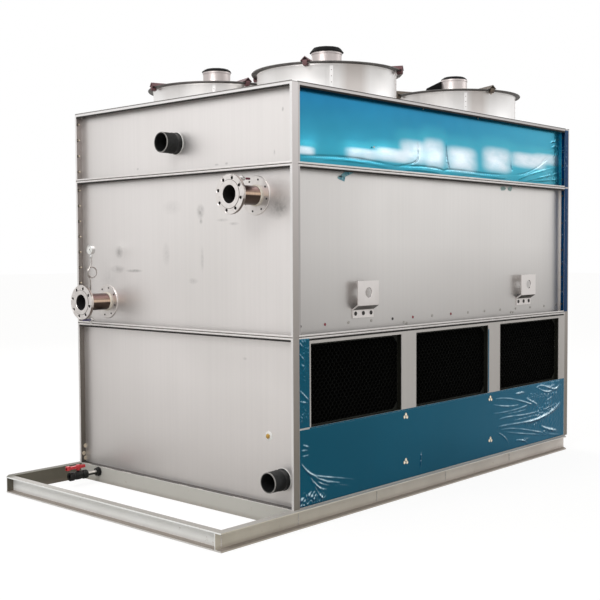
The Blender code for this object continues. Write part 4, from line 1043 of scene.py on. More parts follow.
LOWER_CRUMPLES = (
    (1.10, 0.295, 0.08, 0.022, 0.0042, 0.020), (1.26, 0.338, 0.08, 0.026, 0.0042, 0.020),
    (1.04, 0.445, 0.12, 0.028, 0.0034, 0.024), (1.20, 0.440, 0.10, 0.025, 0.0036, 0.022),
    (1.24, 0.172, 0.11, 0.016, 0.0042, 0.022), (0.93, 0.150, 0.06, 0.014, 0.0036, 0.020),
    (0.86, 0.492, 0.06, 0.012, 0.0036, 0.022), (1.28, 0.490, 0.10, 0.016, 0.0036, 0.022),
    (-1.42, 0.13, 0.10, 0.05, 0.0060, 0.045),
    (-1.33, 0.13, 0.06, 0.03, 0.0050, 0.035),
    (1.20, 0.32, 0.26, 0.12, 0.0032, 0.060),
    (1.30, 0.47, 0.14, 0.05, 0.0050, 0.050),
)
STRIP_CREASES = (
    (((-1.4885, 1.008), (-1.4705, 0.988)), 0.006, 0.0040),
    (((-1.4895, 0.946), (-1.4525, 0.911)), 0.005, 0.0040),
    (((-1.4855, 0.745), (-1.4165, 0.687)), 0.005, 0.0050),
    (((-1.4905, 0.689), (-1.4255, 0.675)), 0.004, 0.0035),
    (((-1.4875, 0.563), (-1.4700, 0.600)), 0.005, 0.0035),
)
STRIP_CRUMPLES = (
    (-1.455, 0.86, 0.05, 0.10, 0.0030, 0.040),
    (-1.455, 0.62, 0.05, 0.08, 0.0026, 0.036),
    (-1.455, 0.99, 0.05, 0.05, 0.0024, 0.036),
)
POST_CRUMPLES = (
    (1.51, 2.20, 0.05, 0.20, 0.0026, 0.030), (1.51, 1.75, 0.05, 0.20, 0.0022, 0.030),
    (1.51, 1.35, 0.05, 0.20, 0.0022, 0.030),
)
FLANGE_CRUMPLES = (
    (0.0, 2.20, 0.05, 0.20, 0.0030, 0.035),
    (0.0, 1.30, 0.05, 0.35, 0.0020, 0.035),
    (0.0, 1.70, 0.05, 0.25, 0.0020, 0.040),
)


def upper_features(low_z):
    """Pockets whose crest runs along the film's foot, so that their upper slope faces up."""
    crest = low_z + 0.058
    bulges = [(0.0, crest, 3.0, 0.075, 0.0032)]
    bulges += [(x, crest, reach, 0.105, 0.7 * height) for x, reach, height in UPPER_POCKETS]
    crumples = [(1.43, low_z + 0.30, 0.07, 0.09, 0.0026, 0.026),
                (1.35, low_z + 0.07, 0.16, 0.05, 0.0026, 0.032)]
    return {"bulges": bulges, "creases": UPPER_CREASES, "crumples": crumples}


def make_films():
    fan_low, fan_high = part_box("front_panel_fan")
    coil_low, coil_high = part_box("front_panel_coil")
    basin_low, basin_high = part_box("front_basin_panel")
    frame_low, frame_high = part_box("front_inlet_frame")
    inner = SIDE_REACH - FLANGE_T - 0.001
    set_back = Matrix.Translation((0, SHEET_BACK, 0))
    fan_span = (fan_low.z + FLANGE_T + 0.001, fan_high.z - FLANGE_T - 0.001)
    features = {
        "front": (upper_features(fan_low.z),
                  {"creases": LOWER_CREASES, "crumples": LOWER_CRUMPLES}, 0.004),
        "back": (upper_features(fan_low.z),
                 {"creases": LOWER_CREASES[:9], "crumples": LOWER_CRUMPLES[:2]}, 0.009),
    }
    for number, side in enumerate(("front", "back")):
        matrix = FACES[side]
        upper, lower, step = features[side]
        film(f"film_fan_{side}", matrix @ set_back, (-inner, fan_span[0]), (inner, fan_span[1]),
             upper, "film_upper", 3 + number, step)
        film(f"film_basin_{side}", matrix, (-SIDE_REACH + 0.002, basin_low.z + 0.006),
             (SIDE_REACH - 0.006, basin_high.z + 0.002), lower, "film_lower", 17 + number, step)
        film(f"film_strip_{side}", matrix, (-SIDE_REACH + 0.002, frame_low.z + 0.012),
             (-1.409, frame_high.z - 0.010),
             {"creases": STRIP_CREASES, "crumples": STRIP_CRUMPLES}, "film_lower", 29 + number,
             0.004)
        for storey, low, high in (("fan", fan_low, fan_high), ("coil", coil_low, coil_high)):
            turn = matrix @ Matrix.Translation((SIDE_REACH - FLANGE_T, 0, 0))
            turn = turn @ Matrix.Rotation(-math.pi / 2, 4, 'Z')
            if storey == "fan":
                film(f"film_corner_{side}", turn, (-TRAY_DEPTH + 0.004, low.z + 0.004),
                     (-0.035, high.z - 0.018), {}, "film_upper", 47 + number, 0.004)
            film(f"film_flange_{storey}_{side}", turn, (-0.034, low.z + 0.004),
                 (-0.002, high.z - 0.018), {"crumples": tuple(
                     (x - 0.025, z, rx, rz, h, s) for x, z, rx, rz, h, s in FLANGE_CRUMPLES)},
                 "film_navy", 41 + number, 0.004)
            film(f"film_post_{storey}_{side}", matrix, (SIDE_REACH - 0.016, low.z + 0.004),
                 (HALF_LENGTH - 0.013, high.z - 0.006), {"crumples": POST_CRUMPLES}, "film_navy",
                 53 + number, 0.005)
        film(f"film_sill_{side}", matrix, (-1.409, basin_high.z + 0.0025),
             (SIDE_REACH - 0.006, basin_high.z + 0.0095), {}, "film_lower", 61 + number, 0.0035)
        film(f"film_edge_{side}", matrix, FILM_EDGE[0], FILM_EDGE[1], {}, "film_lower",
             67 + number, 0.0025)
        outlines = [ragged(x, z, width, height, i)
                    for i, (x, z, width, height) in enumerate(FILM_SCRAPS)]
        shown(f"film_scraps_{side}", mesh_of(f"film_scraps_{side}", together(
            [scrap_shape(outline) for outline in outlines]), matrix @ set_back), "scrap",
            "casing")
        shown(f"film_torn_{side}", mesh_of(f"film_torn_{side}", scrap_shape(TORN_SCRAP),
                                           matrix @ set_back), "torn", "casing")


# Scraps of film left under the rail, from the middle of the side: x, z, width, height
FILM_SCRAPS = (
    (0.6735, 1.943, 0.085, 0.040), (0.7680, 1.945, 0.080, 0.040), (0.3425, 1.966, 0.026, 0.008),
    (0.4345, 1.967, 0.026, 0.008), (0.8855, 1.965, 0.026, 0.008), (-1.090, 1.936, 0.050, 0.012),
)
TORN_SCRAP = ((-1.1135, 1.927), (-1.1025, 1.920), (-1.0505, 1.908), (-1.0425, 1.936),
              (-0.9615, 1.966), (-0.9455, 1.979), (-1.0105, 1.978), (-1.0625, 1.956))
# A thread of film along the left edge of the second post, from corner to corner
FILM_EDGE = ((0.4165, 0.545), (0.4270, 0.975))


def ragged(x, z, width, height, seed):
    """The uneven outline of a scrap, as points."""
    draw = random.Random(seed)
    corners = [(2 * math.pi * i / 9, draw.uniform(0.6, 1.0)) for i in range(9)]
    return [(x + width / 2 * reach * math.cos(turn), z + height / 2 * reach * math.sin(turn))
            for turn, reach in corners]


def scrap_shape(outline):
    """A torn scrap of film lying on the sheet."""
    shape = bmesh.new()
    rings = [[shape.verts.new((x, y, z)) for x, z in outline] for y in (-0.0003, -0.0011)]
    shape.faces.new(rings[0])
    shape.faces.new(list(reversed(rings[1])))
    for i in range(len(outline)):
        after = (i + 1) % len(outline)
        shape.faces.new((rings[0][after], rings[0][i], rings[1][i], rings[1][after]))
    bmesh.ops.recalc_face_normals(shape, faces=shape.faces)
    return shape


# Casing, skid and lugs
def make_casing():
    finishes = {"front": "sheet", "back": "sheet", "pipe": "sheet_end", "far": "sheet_far"}
    for side, nodes in STOREY_NODES.items():
        for node in nodes:
            finish_node(node, finishes[side])
    for side in ("front", "back"):
        finish_node(f"{side}_basin_panel", "sheet_frame")
        finish_node(f"{side}_inlet_frame", "sheet_frame")
    finish_node("basin_floor", "sheet_roof")
    finish_node("roof_deck", "sheet_roof")
    for node in NODES:
        if node.startswith("skid_"):
            eased(node, "channel", 0.0015)
        if node.startswith("lifting_lug_"):
            eased(node, "lug", 0.0008)


# Rails between storeys: a turned lip above and below a dark joint
JOINT_H = 0.0050
LIP_H = 0.0095
LIP_T = 0.0006
DECK_BEAD = 0.004
# The turned edge under each rail, in shade: the tray's returns across and up, low and high edge
RETURN_W = 0.014
RETURN_H = 0.017
SHADE_LOW = 0.0065
SHADE_HIGH = 0.0045


def make_joints():
    for side, nodes in STOREY_NODES.items():
        dark, pale, shades = [], [], []
        reach = REACHES[side] - 0.001
        proud = -0.0002 if side == "far" else LIP_T
        long_side = side in ("front", "back")
        levels = [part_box(node)[0].z for node in nodes[1:]]
        levels += [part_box(f"{side}_inlet_frame")[1].z] if long_side else []
        for z in levels:
            dark.append(block((-reach, -proud / 2, z - JOINT_H / 2),
                              (reach, 0.004, z + JOINT_H / 2), 0.0001))
            for low in (z + JOINT_H / 2, z - JOINT_H / 2 - LIP_H):
                pale.append(block((-reach, -proud, low), (reach, 0.003, low + LIP_H), 0.0002))
        for z in levels + [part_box(nodes[-1])[1].z]:
            foot = z - RETURN_H
            shades.append(block((RETURN_W - reach, -proud / 2, foot - SHADE_LOW),
                                (reach - RETURN_W, 0.0025, foot + SHADE_HIGH), 0.0002))
        top = DECK_HIGH.z
        dark.append(block((-reach, 0.001, top), (reach, 0.006, top + DECK_BEAD), 0.0008))
        shown(f"joints_{side}", mesh_of(f"joints_{side}", together(dark), FACES[side]), "seam")
        shown(f"rail_shades_{side}", mesh_of(f"rail_shades_{side}", together(shades), FACES[side]),
              "shade")
        shown(f"rail_lips_{side}", mesh_of(f"rail_lips_{side}", together(pale), FACES[side]), "lip")


LUG_BOLT_PITCH = 0.072


def lug_bolts():
    for side in ("front", "back"):
        matrices = []
        for number in (1, 2):
            low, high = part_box(f"lifting_lug_{side}_{number}")
            middle = FACES[side].inverted() @ ((low + high) / 2)
            seat = -SHEET_BACK + 0.0065
            for step in (-1, 0, 1):
                matrices.append(facing(side, middle.x + step * LUG_BOLT_PITCH, seat,
                                       low.z + 0.0265))
        copies(f"lug_bolts_{side}", bolt_shape(1.05), matrices, "bolt_dark")


# Air inlets
INLET_COUNT = 3
INLET_PITCH = 0.983
INLET_WIDTH = 0.830
CELL = 0.020
CELL_DEPTH = 0.050
CORNER_CUT = 0.040
SURROUND_T = 0.002


def louvre_sheet(width, height, depth):
    """Folded sheets side by side, mirrored in turn, that leave six-sided cells."""
    columns = int(width / (CELL * 0.9))
    rows = int(height / (CELL * 0.5))
    pitch = width / columns
    points = []
    faces = []
    for column in range(columns):
        start = len(points)
        x0 = -width / 2 + pitch * (column + 0.5)
        for row in range(rows + 1):
            z = height * row / rows
            swing = (pitch * 0.48) * (1 if (row // 2 + column) % 2 else -1)
            for side in (-0.0006, 0.0006):
                for y in (0.0, depth):
                    points.append((x0 + swing * 0.98 + side, y, z))
        for row in range(rows):
            a = start + 4 * row
            b = a + 4
            faces += [(a, b, b + 1, a + 1), (a + 3, b + 3, b + 2, a + 2), (a + 2, b + 2, b, a),
                      (a + 1, b + 1, b + 3, a + 3)]
        faces += [(start, start + 1, start + 3, start + 2)]
        end = start + 4 * rows
        faces += [(end + 2, end + 3, end + 1, end)]
    return points, faces


def surround(width, height):
    """Dark frame behind each opening, with its corners cut across."""
    shape = bmesh.new()
    half = width / 2
    edge = 0.012
    outer = [(-half, 0), (half, 0), (half, height), (-half, height)]
    x, low, high, cut = half - edge, edge, height - edge, CORNER_CUT
    inner = [(-x + cut, low), (x - cut, low), (x, low + cut), (x, high - cut), (x - cut, high),
             (-x + cut, high), (-x, high - cut), (-x, low + cut)]
    rings = []
    for ring in (outer, inner):
        rings.append([[shape.verts.new((px, y, pz)) for px, pz in ring]
                      for y in (0, SURROUND_T)])
    for layer in (0, 1):
        big, small = rings[0][layer], rings[1][layer]
        for i in range(4):
            shape.faces.new((big[i], big[(i + 1) % 4], small[(2 * i + 1) % 8], small[2 * i]))
            shape.faces.new((big[(i + 1) % 4], small[(2 * i + 2) % 8], small[(2 * i + 1) % 8]))
    for ring in rings:
        count = len(ring[0])
        for i in range(count):
            after = (i + 1) % count
            shape.faces.new((ring[0][i], ring[0][after], ring[1][after], ring[1][i]))
    bmesh.ops.recalc_face_normals(shape, faces=shape.faces)
    return shape


def make_inlets():
    for side in ("front", "back"):
        low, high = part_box(f"{side}_inlet_louvre")
        frame_low, frame_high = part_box(f"{side}_inlet_frame")
        height = frame_high.z - frame_low.z - 0.044
        base_z = frame_low.z + 0.004
        depth = HALF_WIDTH - min(abs(low.y), abs(high.y))
        front = HALF_WIDTH - max(abs(low.y), abs(high.y)) + 0.001
        all_points, all_faces, shapes = [], [], []
        for number in range(INLET_COUNT):
            x = (number - (INLET_COUNT - 1) / 2) * INLET_PITCH
            points, faces = louvre_sheet(INLET_WIDTH + 0.02, height, CELL_DEPTH)
            start = len(all_points)
            for px, py, pz in points:
                place = Vector((px + x, py + front + 2 * SURROUND_T, pz + base_z))
                all_points.append(FACES[side] @ place)
            all_faces += [[start + i for i in face] for face in faces]
            shapes.append(moved(surround(INLET_WIDTH + 0.02, height), Matrix.Translation(
                (x, front, base_z))))
        mesh = bpy.data.meshes.new(f"{side}_louvre_cells")
        mesh.from_pydata([tuple(p) for p in all_points], [], all_faces)
        mesh.update()
        cells = shown(f"{side}_louvre_cells", mesh, "louvre", "casing", 20.0)
        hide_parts(f"{side}_inlet_louvre")
        shown(f"{side}_louvre_surrounds", mesh_of(f"{side}_louvre_surrounds", together(shapes),
                                                  FACES[side]), "louvre_frame", "casing",
              20.0)
        wall = block((-SIDE_REACH + 0.01, front + CELL_DEPTH + 0.006, base_z),
                     (SIDE_REACH - 0.01, depth - 0.001, base_z + height), 0.001)
        shown(f"{side}_louvre_back", mesh_of(f"{side}_louvre_back", wall, FACES[side]), "louvre",
              "casing")


# Drift eliminator
BLADE_SPACING = 0.032
BLADE_H = 0.060
BLADE_STEPS = 8


def make_eliminator():
    """Wavy moulded blades on edge over the bed, side by side along the tower."""
    low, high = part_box("drift_eliminator")
    bed = block(low, (high.x, high.y, high.z - BLADE_H), 0.002)
    piece = shown("eliminator_bed", mesh_of("eliminator_bed", bed), "eliminator", "casing")
    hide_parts("drift_eliminator")
    count = int((high.x - low.x) / BLADE_SPACING)
    thick = 0.0012
    points = []
    faces = []
    for blade in range(count):
        x0 = low.x + (high.x - low.x) * (blade + 0.5) / count
        start = len(points)
        for step in range(BLADE_STEPS + 1):
            share = step / BLADE_STEPS
            z = high.z - BLADE_H - 0.001 + (BLADE_H + 0.001) * share
            x = x0 + 0.008 * math.sin(share * 1.3 * math.pi)
            for side in (-thick, thick):
                for y in (low.y, high.y):
                    points.append((x + side, y, z))
        for step in range(BLADE_STEPS):
            a = start + 4 * step
            b = a + 4
            faces += [(a, a + 1, b + 1, b), (a + 2, b + 2, b + 3, a + 3), (a, b, b + 2, a + 2),
                      (a + 1, a + 3, b + 3, b + 1)]
        top = start + 4 * BLADE_STEPS
        faces += [(start, start + 2, start + 3, start + 1), (top, top + 1, top + 3, top + 2)]
    mesh = bpy.data.meshes.new("eliminator_blades")
    mesh.from_pydata(points, [], faces)
    mesh.update()
    shown("eliminator_blades", mesh, "eliminator", "casing", 50.0)


# Fans
COWL_STEPS = 128
FOOT_FLANGE = 0.022
SEAM_ANGLES = (-135.5, -62.0, -38.0, 40.0, 130.0)
ARM_ANGLES = {"1": 25.5, "2": 67.0, "3": 72.0, "4": 45.0}
ARM_COUNT = 4
BLADE_COUNT = 6
BLADE_PITCH = 28.0
BLADE_SECTIONS = 9


def fan_centre(number):
    low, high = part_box("fan_cowl_" + number)
    return Vector(((low.x + high.x) / 2, (low.y + high.y) / 2, 0))


def make_cowl(number):
    """Rolled sheet ring with a foot flange, a flared lip with a rolled edge, and seams."""
    low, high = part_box("fan_cowl_" + number)
    centre = fan_centre(number)
    rim = (high.x - low.x) / 2
    wall = rim - 0.037
    inner = wall - SHEET_T
    foot, top = low.z, high.z
    curl = 0.006
    lip = [(wall, top - 0.020), (wall + 0.004, top - 0.011), (wall + 0.014, top - 0.006)]
    under = [(rim - curl, top - 0.0055), (rim - 0.002, top - 0.0085), (rim, top - 0.005)]
    over = [(rim - 0.002, top - 0.001), (rim - curl, top), (wall + 0.014, top - 0.001),
            (wall + 0.002, top - 0.006), (inner, top - 0.020)]
    ring = [(inner, foot), (wall + FOOT_FLANGE, foot), (wall + FOOT_FLANGE, foot + SHEET_T),
            (wall, foot + SHEET_T), *lip, *under, *over]
    shape = turned(ring, COWL_STEPS, closed=True)
    mesh = mesh_of("fan_cowl_" + number + "_sheet", shape, Matrix.Translation(centre))
    piece = shown("fan_cowl_" + number + "_sheet", mesh, ["cowl", "rim"], "casing",
                  30.0)
    # The flared lip takes the rim's painted shade
    for polygon in mesh.polygons:
        away = (Vector(polygon.center) - centre).to_2d().length
        if away > wall + 0.003 and polygon.center.z > top - 0.018:
            polygon.material_index = 1
    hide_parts("fan_cowl_" + number)
    seams = []
    screws = []
    for angle in SEAM_ANGLES:
        turn = Matrix.Translation(centre) @ Matrix.Rotation(math.radians(angle), 4, 'Z')
        seams.append(moved(arc_strip(wall - 0.0005, wall + 0.0016, foot + SHEET_T + 0.001,
                                     top - 0.021, 0.010 / wall), turn))
        for z in spread(foot + 0.02, top - 0.03, 0.035):
            screws.append(turn @ Matrix.Translation((wall + 0.0016, 0, z))
                          @ Matrix.Rotation(math.pi / 2, 4, 'Y'))
    shown(f"fan_cowl_{number}_seams", mesh_of(f"fan_cowl_{number}_seams", together(seams)),
          "cowl", "casing")
    copies(f"fan_cowl_{number}_rivets", screw_shape(0.0032, 0.0016), screws, "bolt")
    feet = []
    for i in range(24):
        turn = Matrix.Rotation(math.radians(15 * i + 7), 4, 'Z')
        feet.append(Matrix.Translation(centre) @ turn
                    @ Matrix.Translation((wall + FOOT_FLANGE * 0.55, 0, foot + SHEET_T)))
    copies(f"fan_cowl_{number}_foot_bolts", bolt_shape(0.62), feet, "bolt")


def arc_strip(inner, outer, low, high, half_angle, steps=8):
    """A lap of sheet that follows a round wall, about the X axis."""
    shape = bmesh.new()
    rows = []
    for i in range(steps + 1):
        angle = half_angle * (2 * i / steps - 1)
        rows.append([shape.verts.new((radius * math.cos(angle), radius * math.sin(angle), z))
                     for radius, z in ((inner, low), (outer, low), (outer, high), (inner, high))])
    for near, far in zip(rows, rows[1:]):
        for i in range(4):
            after = (i + 1) % 4
            shape.faces.new((near[i], far[i], far[after], near[after]))
    shape.faces.new(rows[0])
    shape.faces.new(list(reversed(rows[-1])))
    bmesh.ops.recalc_face_normals(shape, faces=shape.faces)
    return shape


def make_motor(number):
    """Round motor with a twelve-sided cap, on four primed steel angles across the rim."""
    low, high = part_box("fan_motor_" + number)
    centre = fan_centre(number)
    name = "fan_motor_" + number
    seat = low.z
    top = high.z
    body_top = top - MOTOR_CAP_H
    base = [(0, seat), (0.112, seat), (0.112, seat + 0.009), (0.109, seat + 0.012),
            (0.0945, seat + 0.014), (0.0935, seat + 0.018), (0.0935, body_top - 0.014),
            (0.096, body_top - 0.012), (0.096, body_top), (0, body_top)]
    shell = mesh_of(name + "_shell", turned(base, 72), Matrix.Translation(centre))
    piece = shown(name + "_shell", shell, "motor", "casing", 30.0)
    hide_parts(name)
    cap_radius, cap_h = CAP_SIZES[number]
    low_z = top - MOTOR_CAP_H + 0.0005
    crown = low_z + cap_h - 0.0005
    cap = [(0, low_z), (cap_radius, low_z), (cap_radius, low_z + 0.004),
           (cap_radius - 0.002, low_z + 0.007), (cap_radius - 0.019, crown - 0.002),
           (cap_radius - 0.023, crown), (0.030, crown), (0.028, crown - 0.002), (0, crown - 0.002)]
    turn = Matrix.Translation(centre) @ Matrix.Rotation(math.radians(9 * int(number)), 4, 'Z')
    shown(name + "_cap", mesh_of(name + "_cap", turned(cap, 12), turn), "cap", "casing",
          25.0)
    reach = (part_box("fan_cowl_" + number)[1].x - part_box("fan_cowl_" + number)[0].x) / 2
    reach += ARM_OVERHANG
    arms = []
    bolts = []
    for arm in range(ARM_COUNT):
        turn = Matrix.Translation(centre) @ Matrix.Rotation(
            math.radians(ARM_ANGLES[number] + 360 * arm / ARM_COUNT), 4, 'Z')
        arms.append(moved(angle_iron(0.060, reach, seat + 0.0002), turn))
        clamp = block((reach - 0.036, -0.011, seat - 0.026), (reach - 0.002, 0.011, seat - 0.0075),
                      0.002)
        lip = block((reach - 0.0065, -0.015, seat - 0.020), (reach - 0.0015, 0.015, seat + 0.006),
                    0.001)
        arms += [moved(clamp, turn), moved(lip, turn)]
        bolts.append(turn @ Matrix.Translation((reach - 0.022, 0, seat - 0.0305))
                     @ Matrix.Rotation(math.pi, 4, 'X'))
        for side in (-1, 1):
            bolts.append(turn @ Matrix.Translation((0.135, side * 0.0142, seat + 0.0142))
                         @ Matrix.Rotation(-side * math.pi / 4, 4, 'X'))
    old_paint = number == "2"
    shown(name + "_arms", mesh_of(name + "_arms", together(arms)),
          "primer_olive" if old_paint else "primer", "casing", 25.0)
    copies(name + "_arm_bolts", bolt_shape(0.7, True), bolts, "brass" if old_paint else "bolt")
    turn = Matrix.Translation(centre) @ Matrix.Rotation(math.radians(BRACKET_ANGLES[number]), 4,
                                                        'Z')
    fin = bmesh.new()
    outline = [(r, seat + z) for r, z in BRACKETS.get(number, BRACKETS["1"])]
    rows = [[fin.verts.new((x, y, z)) for x, z in outline] for y in (-0.016, 0.016)]
    fin.faces.new(rows[0])
    fin.faces.new(list(reversed(rows[1])))
    for i in range(len(outline)):
        after = (i + 1) % len(outline)
        fin.faces.new((rows[0][after], rows[0][i], rows[1][i], rows[1][after]))
    bmesh.ops.recalc_face_normals(fin, faces=fin.faces)
    bmesh.ops.bevel(fin, geom=fin.edges[:], offset=0.0015, segments=2, profile=0.5,
                    affect='EDGES')
    gland = turned([(0, 0), (0.009, 0), (0.009, 0.014), (0.006, 0.018), (0, 0.018)], 12)
    gland = moved(gland, Matrix.Translation((0.088, 0, seat + 0.074)) @ Matrix.Rotation(
        math.radians(70), 4, 'Y'))
    shown(name + "_cable_bracket", mesh_of(name + "_cable_bracket", together([fin, gland]), turn),
          "cap", "casing")


# Caps differ in radius and height, as read from the photograph
MOTOR_CAP_H = 0.031
CAP_SIZES = {"1": (0.106, 0.031), "2": (0.095, 0.022), "3": (0.102, 0.022), "4": (0.104, 0.026)}
BRACKET_ANGLES = {"1": 60.0, "2": 132.4, "3": 28.0, "4": 100.0}
BRACKETS = {
    "1": ((0.094, 0.028), (0.165, 0.006), (0.168, 0.012), (0.100, 0.066), (0.094, 0.070)),
    "2": ((0.094, 0.050), (0.180, 0.050), (0.205, 0.050), (0.200, 0.072), (0.100, 0.121),
          (0.094, 0.118)),
}
ARM_OVERHANG = 0.012
ARM_LEG = 0.040
ARM_T = 0.004


def angle_iron(start, end, seat):
    """An equal angle along X with its ridge up, its corners rolled."""
    spread = ARM_LEG / math.sqrt(2)
    inner = spread - ARM_T * math.sqrt(2)
    crown = 0.003
    outline = [(-spread, 0), (-crown, spread - crown), (0, spread - crown * 0.45),
               (crown, spread - crown), (spread, 0), (inner, 0), (0, inner), (-inner, 0)]
    shape = bmesh.new()
    ends = [[shape.verts.new((x, y, seat + z)) for y, z in outline] for x in (start, end)]
    count = len(outline)
    for i in range(count):
        after = (i + 1) % count
        shape.faces.new((ends[0][i], ends[0][after], ends[1][after], ends[1][i]))
    for corners in ends:
        shape.faces.new((corners[0], corners[1], corners[6], corners[7]))
        shape.faces.new((corners[1], corners[2], corners[3], corners[6]))
        shape.faces.new((corners[3], corners[4], corners[5], corners[6]))
    bmesh.ops.recalc_face_normals(shape, faces=shape.faces)
    return shape


def blade_shape():
    """A cambered, twisted blade along +X that narrows and turns flatter towards its tip."""
    root, tip = 0.070, BLADE_TIP
    shape = bmesh.new()
    sections = []
    for i in range(BLADE_SECTIONS):
        share = i / (BLADE_SECTIONS - 1)
        radius = root + (tip - root) * share
        chord = 0.118 - 0.020 * share
        pitch = math.radians(BLADE_PITCH + 8 - 16 * share)
        section = []
        for top in (1, -1):
            steps = range(7) if top == 1 else range(5, 0, -1)
            for j in steps:
                s = j / 6 - 0.5
                camber = 0.010 * (1 - 4 * s * s)
                half = 0.0028 * math.sqrt(max(0.02, 1 - 4 * s * s)) * top
                y = s * chord
                z = camber + half - 0.005
                section.append(shape.verts.new((radius, y * math.cos(pitch) - z * math.sin(pitch),
                                                y * math.sin(pitch) + z * math.cos(pitch))))
        sections.append(section)
    for near, far in zip(sections, sections[1:]):
        for i in range(len(near)):
            after = (i + 1) % len(near)
            shape.faces.new((near[i], near[after], far[after], far[i]))
    shape.faces.new(sections[0])
    shape.faces.new(list(reversed(sections[-1])))
    bmesh.ops.recalc_face_normals(shape, faces=shape.faces)
    return shape


ROTOR_LOW, ROTOR_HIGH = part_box("fan_rotor_1")
BLADE_TIP = (ROTOR_HIGH.x - ROTOR_LOW.x) / 2 - 0.004


def make_rotor(number):
    """Hub with a domed cover, a shaft and six blades, on its own body."""
    low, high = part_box("fan_rotor_" + number)
    centre = fan_centre(number)
    name = "fan_rotor_" + number
    body = "rotor_" + number
    hub_top = high.z - 0.060
    hub_low = hub_top - 0.090
    hub = [(0, hub_low), (0.078, hub_low), (0.085, hub_low + 0.006), (0.085, hub_top - 0.010),
           (0.076, hub_top - 0.002), (0.030, hub_top), (0.026, hub_top + 0.014),
           (0.014, hub_top + 0.016), (0.014, high.z), (0, high.z)]
    piece = shown(name + "_hub", mesh_of(name + "_hub", turned(hub, 48),
                                         Matrix.Translation(centre)), "blade", body,
                  30.0)
    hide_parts(name)
    middle = hub_low + 0.045
    matrices = [Matrix.Translation(centre + Vector((0, 0, middle)))
                @ Matrix.Rotation(2 * math.pi * i / BLADE_COUNT, 4, 'Z')
                for i in range(BLADE_COUNT)]
    copies(name + "_blades", blade_shape(), matrices, "blade", body)


def make_fans():
    for number in "1234":
        make_cowl(number)
        make_motor(number)
        make_rotor(number)


# Pipe connections
AXIS_OUT = Matrix.Rotation(-math.pi / 2, 4, 'Y')


def along_pipe(x, y, z):
    """Matrix that sets a turned shape's axis along -X, starting at x."""
    return Matrix.Translation((x, y, z)) @ AXIS_OUT


def make_nozzle(name):
    """Wall plate with bolts, pipe with its dark bore, cream gasket and drilled flange."""
    low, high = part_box(name)
    y, z = (low.y + high.y) / 2, (low.z + high.z) / 2
    seat = high.x
    length = high.x - low.x
    start = along_pipe(seat, y, z)
    plate = [(0.053, 0), (0.1085, 0), (0.110, 0.0015), (0.110, 0.0045), (0.1085, 0.006),
             (0.053, 0.006)]
    piece = shown(name + "_wall_plate", mesh_of(name + "_wall_plate", turned(plate, 96, True),
                                                start), "flange", "casing")
    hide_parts(name)
    pipe = [(0.0505, 0.001), (0.054, 0.001), (0.054, length - 0.012), (0.0505, length - 0.012)]
    shown(name + "_pipe", mesh_of(name + "_pipe", turned(pipe, 96, True), start), "nozzle",
          "casing")
    # The bore's lining, painted dark as shade
    bore = [(0.0495, -0.010), (0.0504, -0.010), (0.0504, length - 0.003), (0.0495, length - 0.003)]
    shown(name + "_bore", mesh_of(name + "_bore", turned(bore, 96, True), start), "bore",
          "casing")
    # A dark disc that paints the shade deep in the bore
    stop = [(0, -0.010), (0.0494, -0.010), (0.0494, -0.008), (0, -0.008)]
    shown(name + "_dark", mesh_of(name + "_dark", turned(stop, 48), start), "bore", "casing")
    face = length
    disc = [(0.0505, face - 0.0215), (0.1095, face - 0.0215), (0.110, face - 0.0205),
            (0.110, face - 0.0035), (0.109, face - 0.002), (0.0805, face - 0.002),
            (0.0800, face - 0.0032), (0.0785, face - 0.0032), (0.0780, face), (0.0515, face),
            (0.0505, face - 0.001)]
    flange = shown(name + "_flange", mesh_of(name + "_flange", turned(disc, 120, True), start),
                   ["flange", "shaded_flange_back", "groove", "flange_rim"], "casing")
    for polygon in flange.data.polygons:
        middle = start.inverted() @ Vector(polygon.center)
        radius = middle.to_2d().length
        # The flange's back takes the painted shade
        if middle.z < face - 0.0204:
            polygon.material_index = 1
        elif 0.0780 < radius < 0.0806 and middle.z > face - 0.004:
            polygon.material_index = 2
        elif radius > 0.1092 and middle.z < face - 0.0030:
            polygon.material_index = 3
    holes = []
    for i in range(8):
        angle = math.radians(BOLT_RING_TURN + 45 * i)
        holes.append(start @ Matrix.Translation((0.090 * math.cos(angle), 0.090 * math.sin(angle),
                                                 face - 0.030)))
    # The holes' walls take the bore's painted shade
    drill = turned([(0, 0), (0.009, 0), (0.009, 0.040), (0, 0.040)], 24)
    cutter = copies(name + "_drill", drill, holes, "bore")
    bite = flange.modifiers.new("holes", 'BOOLEAN')
    bite.object = cutter
    bite.solver = 'EXACT'
    bite.material_mode = 'TRANSFER'
    bpy.context.view_layer.update()
    cut = bpy.data.meshes.new_from_object(flange.evaluated_get(
        bpy.context.evaluated_depsgraph_get()))
    flange.modifiers.clear()
    flange.data = cut
    bpy.data.objects.remove(cutter, do_unlink=True)
    collar = [(0.0535, 0.005), (0.0600, 0.0055), (0.0610, 0.009), (0.0600, 0.0145),
              (0.0575, 0.0165), (0.0535, 0.017)]
    rings = [moved(turned(collar, 96, True), start),
             moved(turned(ring_profile(0.0560, face - 0.0235, 0.0030), 96, True), start)]
    shown(name + "_gasket", mesh_of(name + "_gasket", together(rings)), "gasket", "casing")
    bolts = []
    for i in range(8):
        angle = math.radians(BOLT_RING_TURN + 45 * i)
        bolts.append(start @ Matrix.Translation((0.090 * math.cos(angle), 0.090 * math.sin(angle),
                                                 0.006)))
    copies(name + "_plate_bolts", bolt_shape(0.46), bolts, "bolt_dark")


BOLT_RING_TURN = 31.0


def ring_profile(radius, height, size):
    """A round bead's section at that radius and height."""
    return [(radius + size * math.cos(a), height + size * math.sin(a))
            for a in (2 * math.pi * i / 10 for i in range(10))]


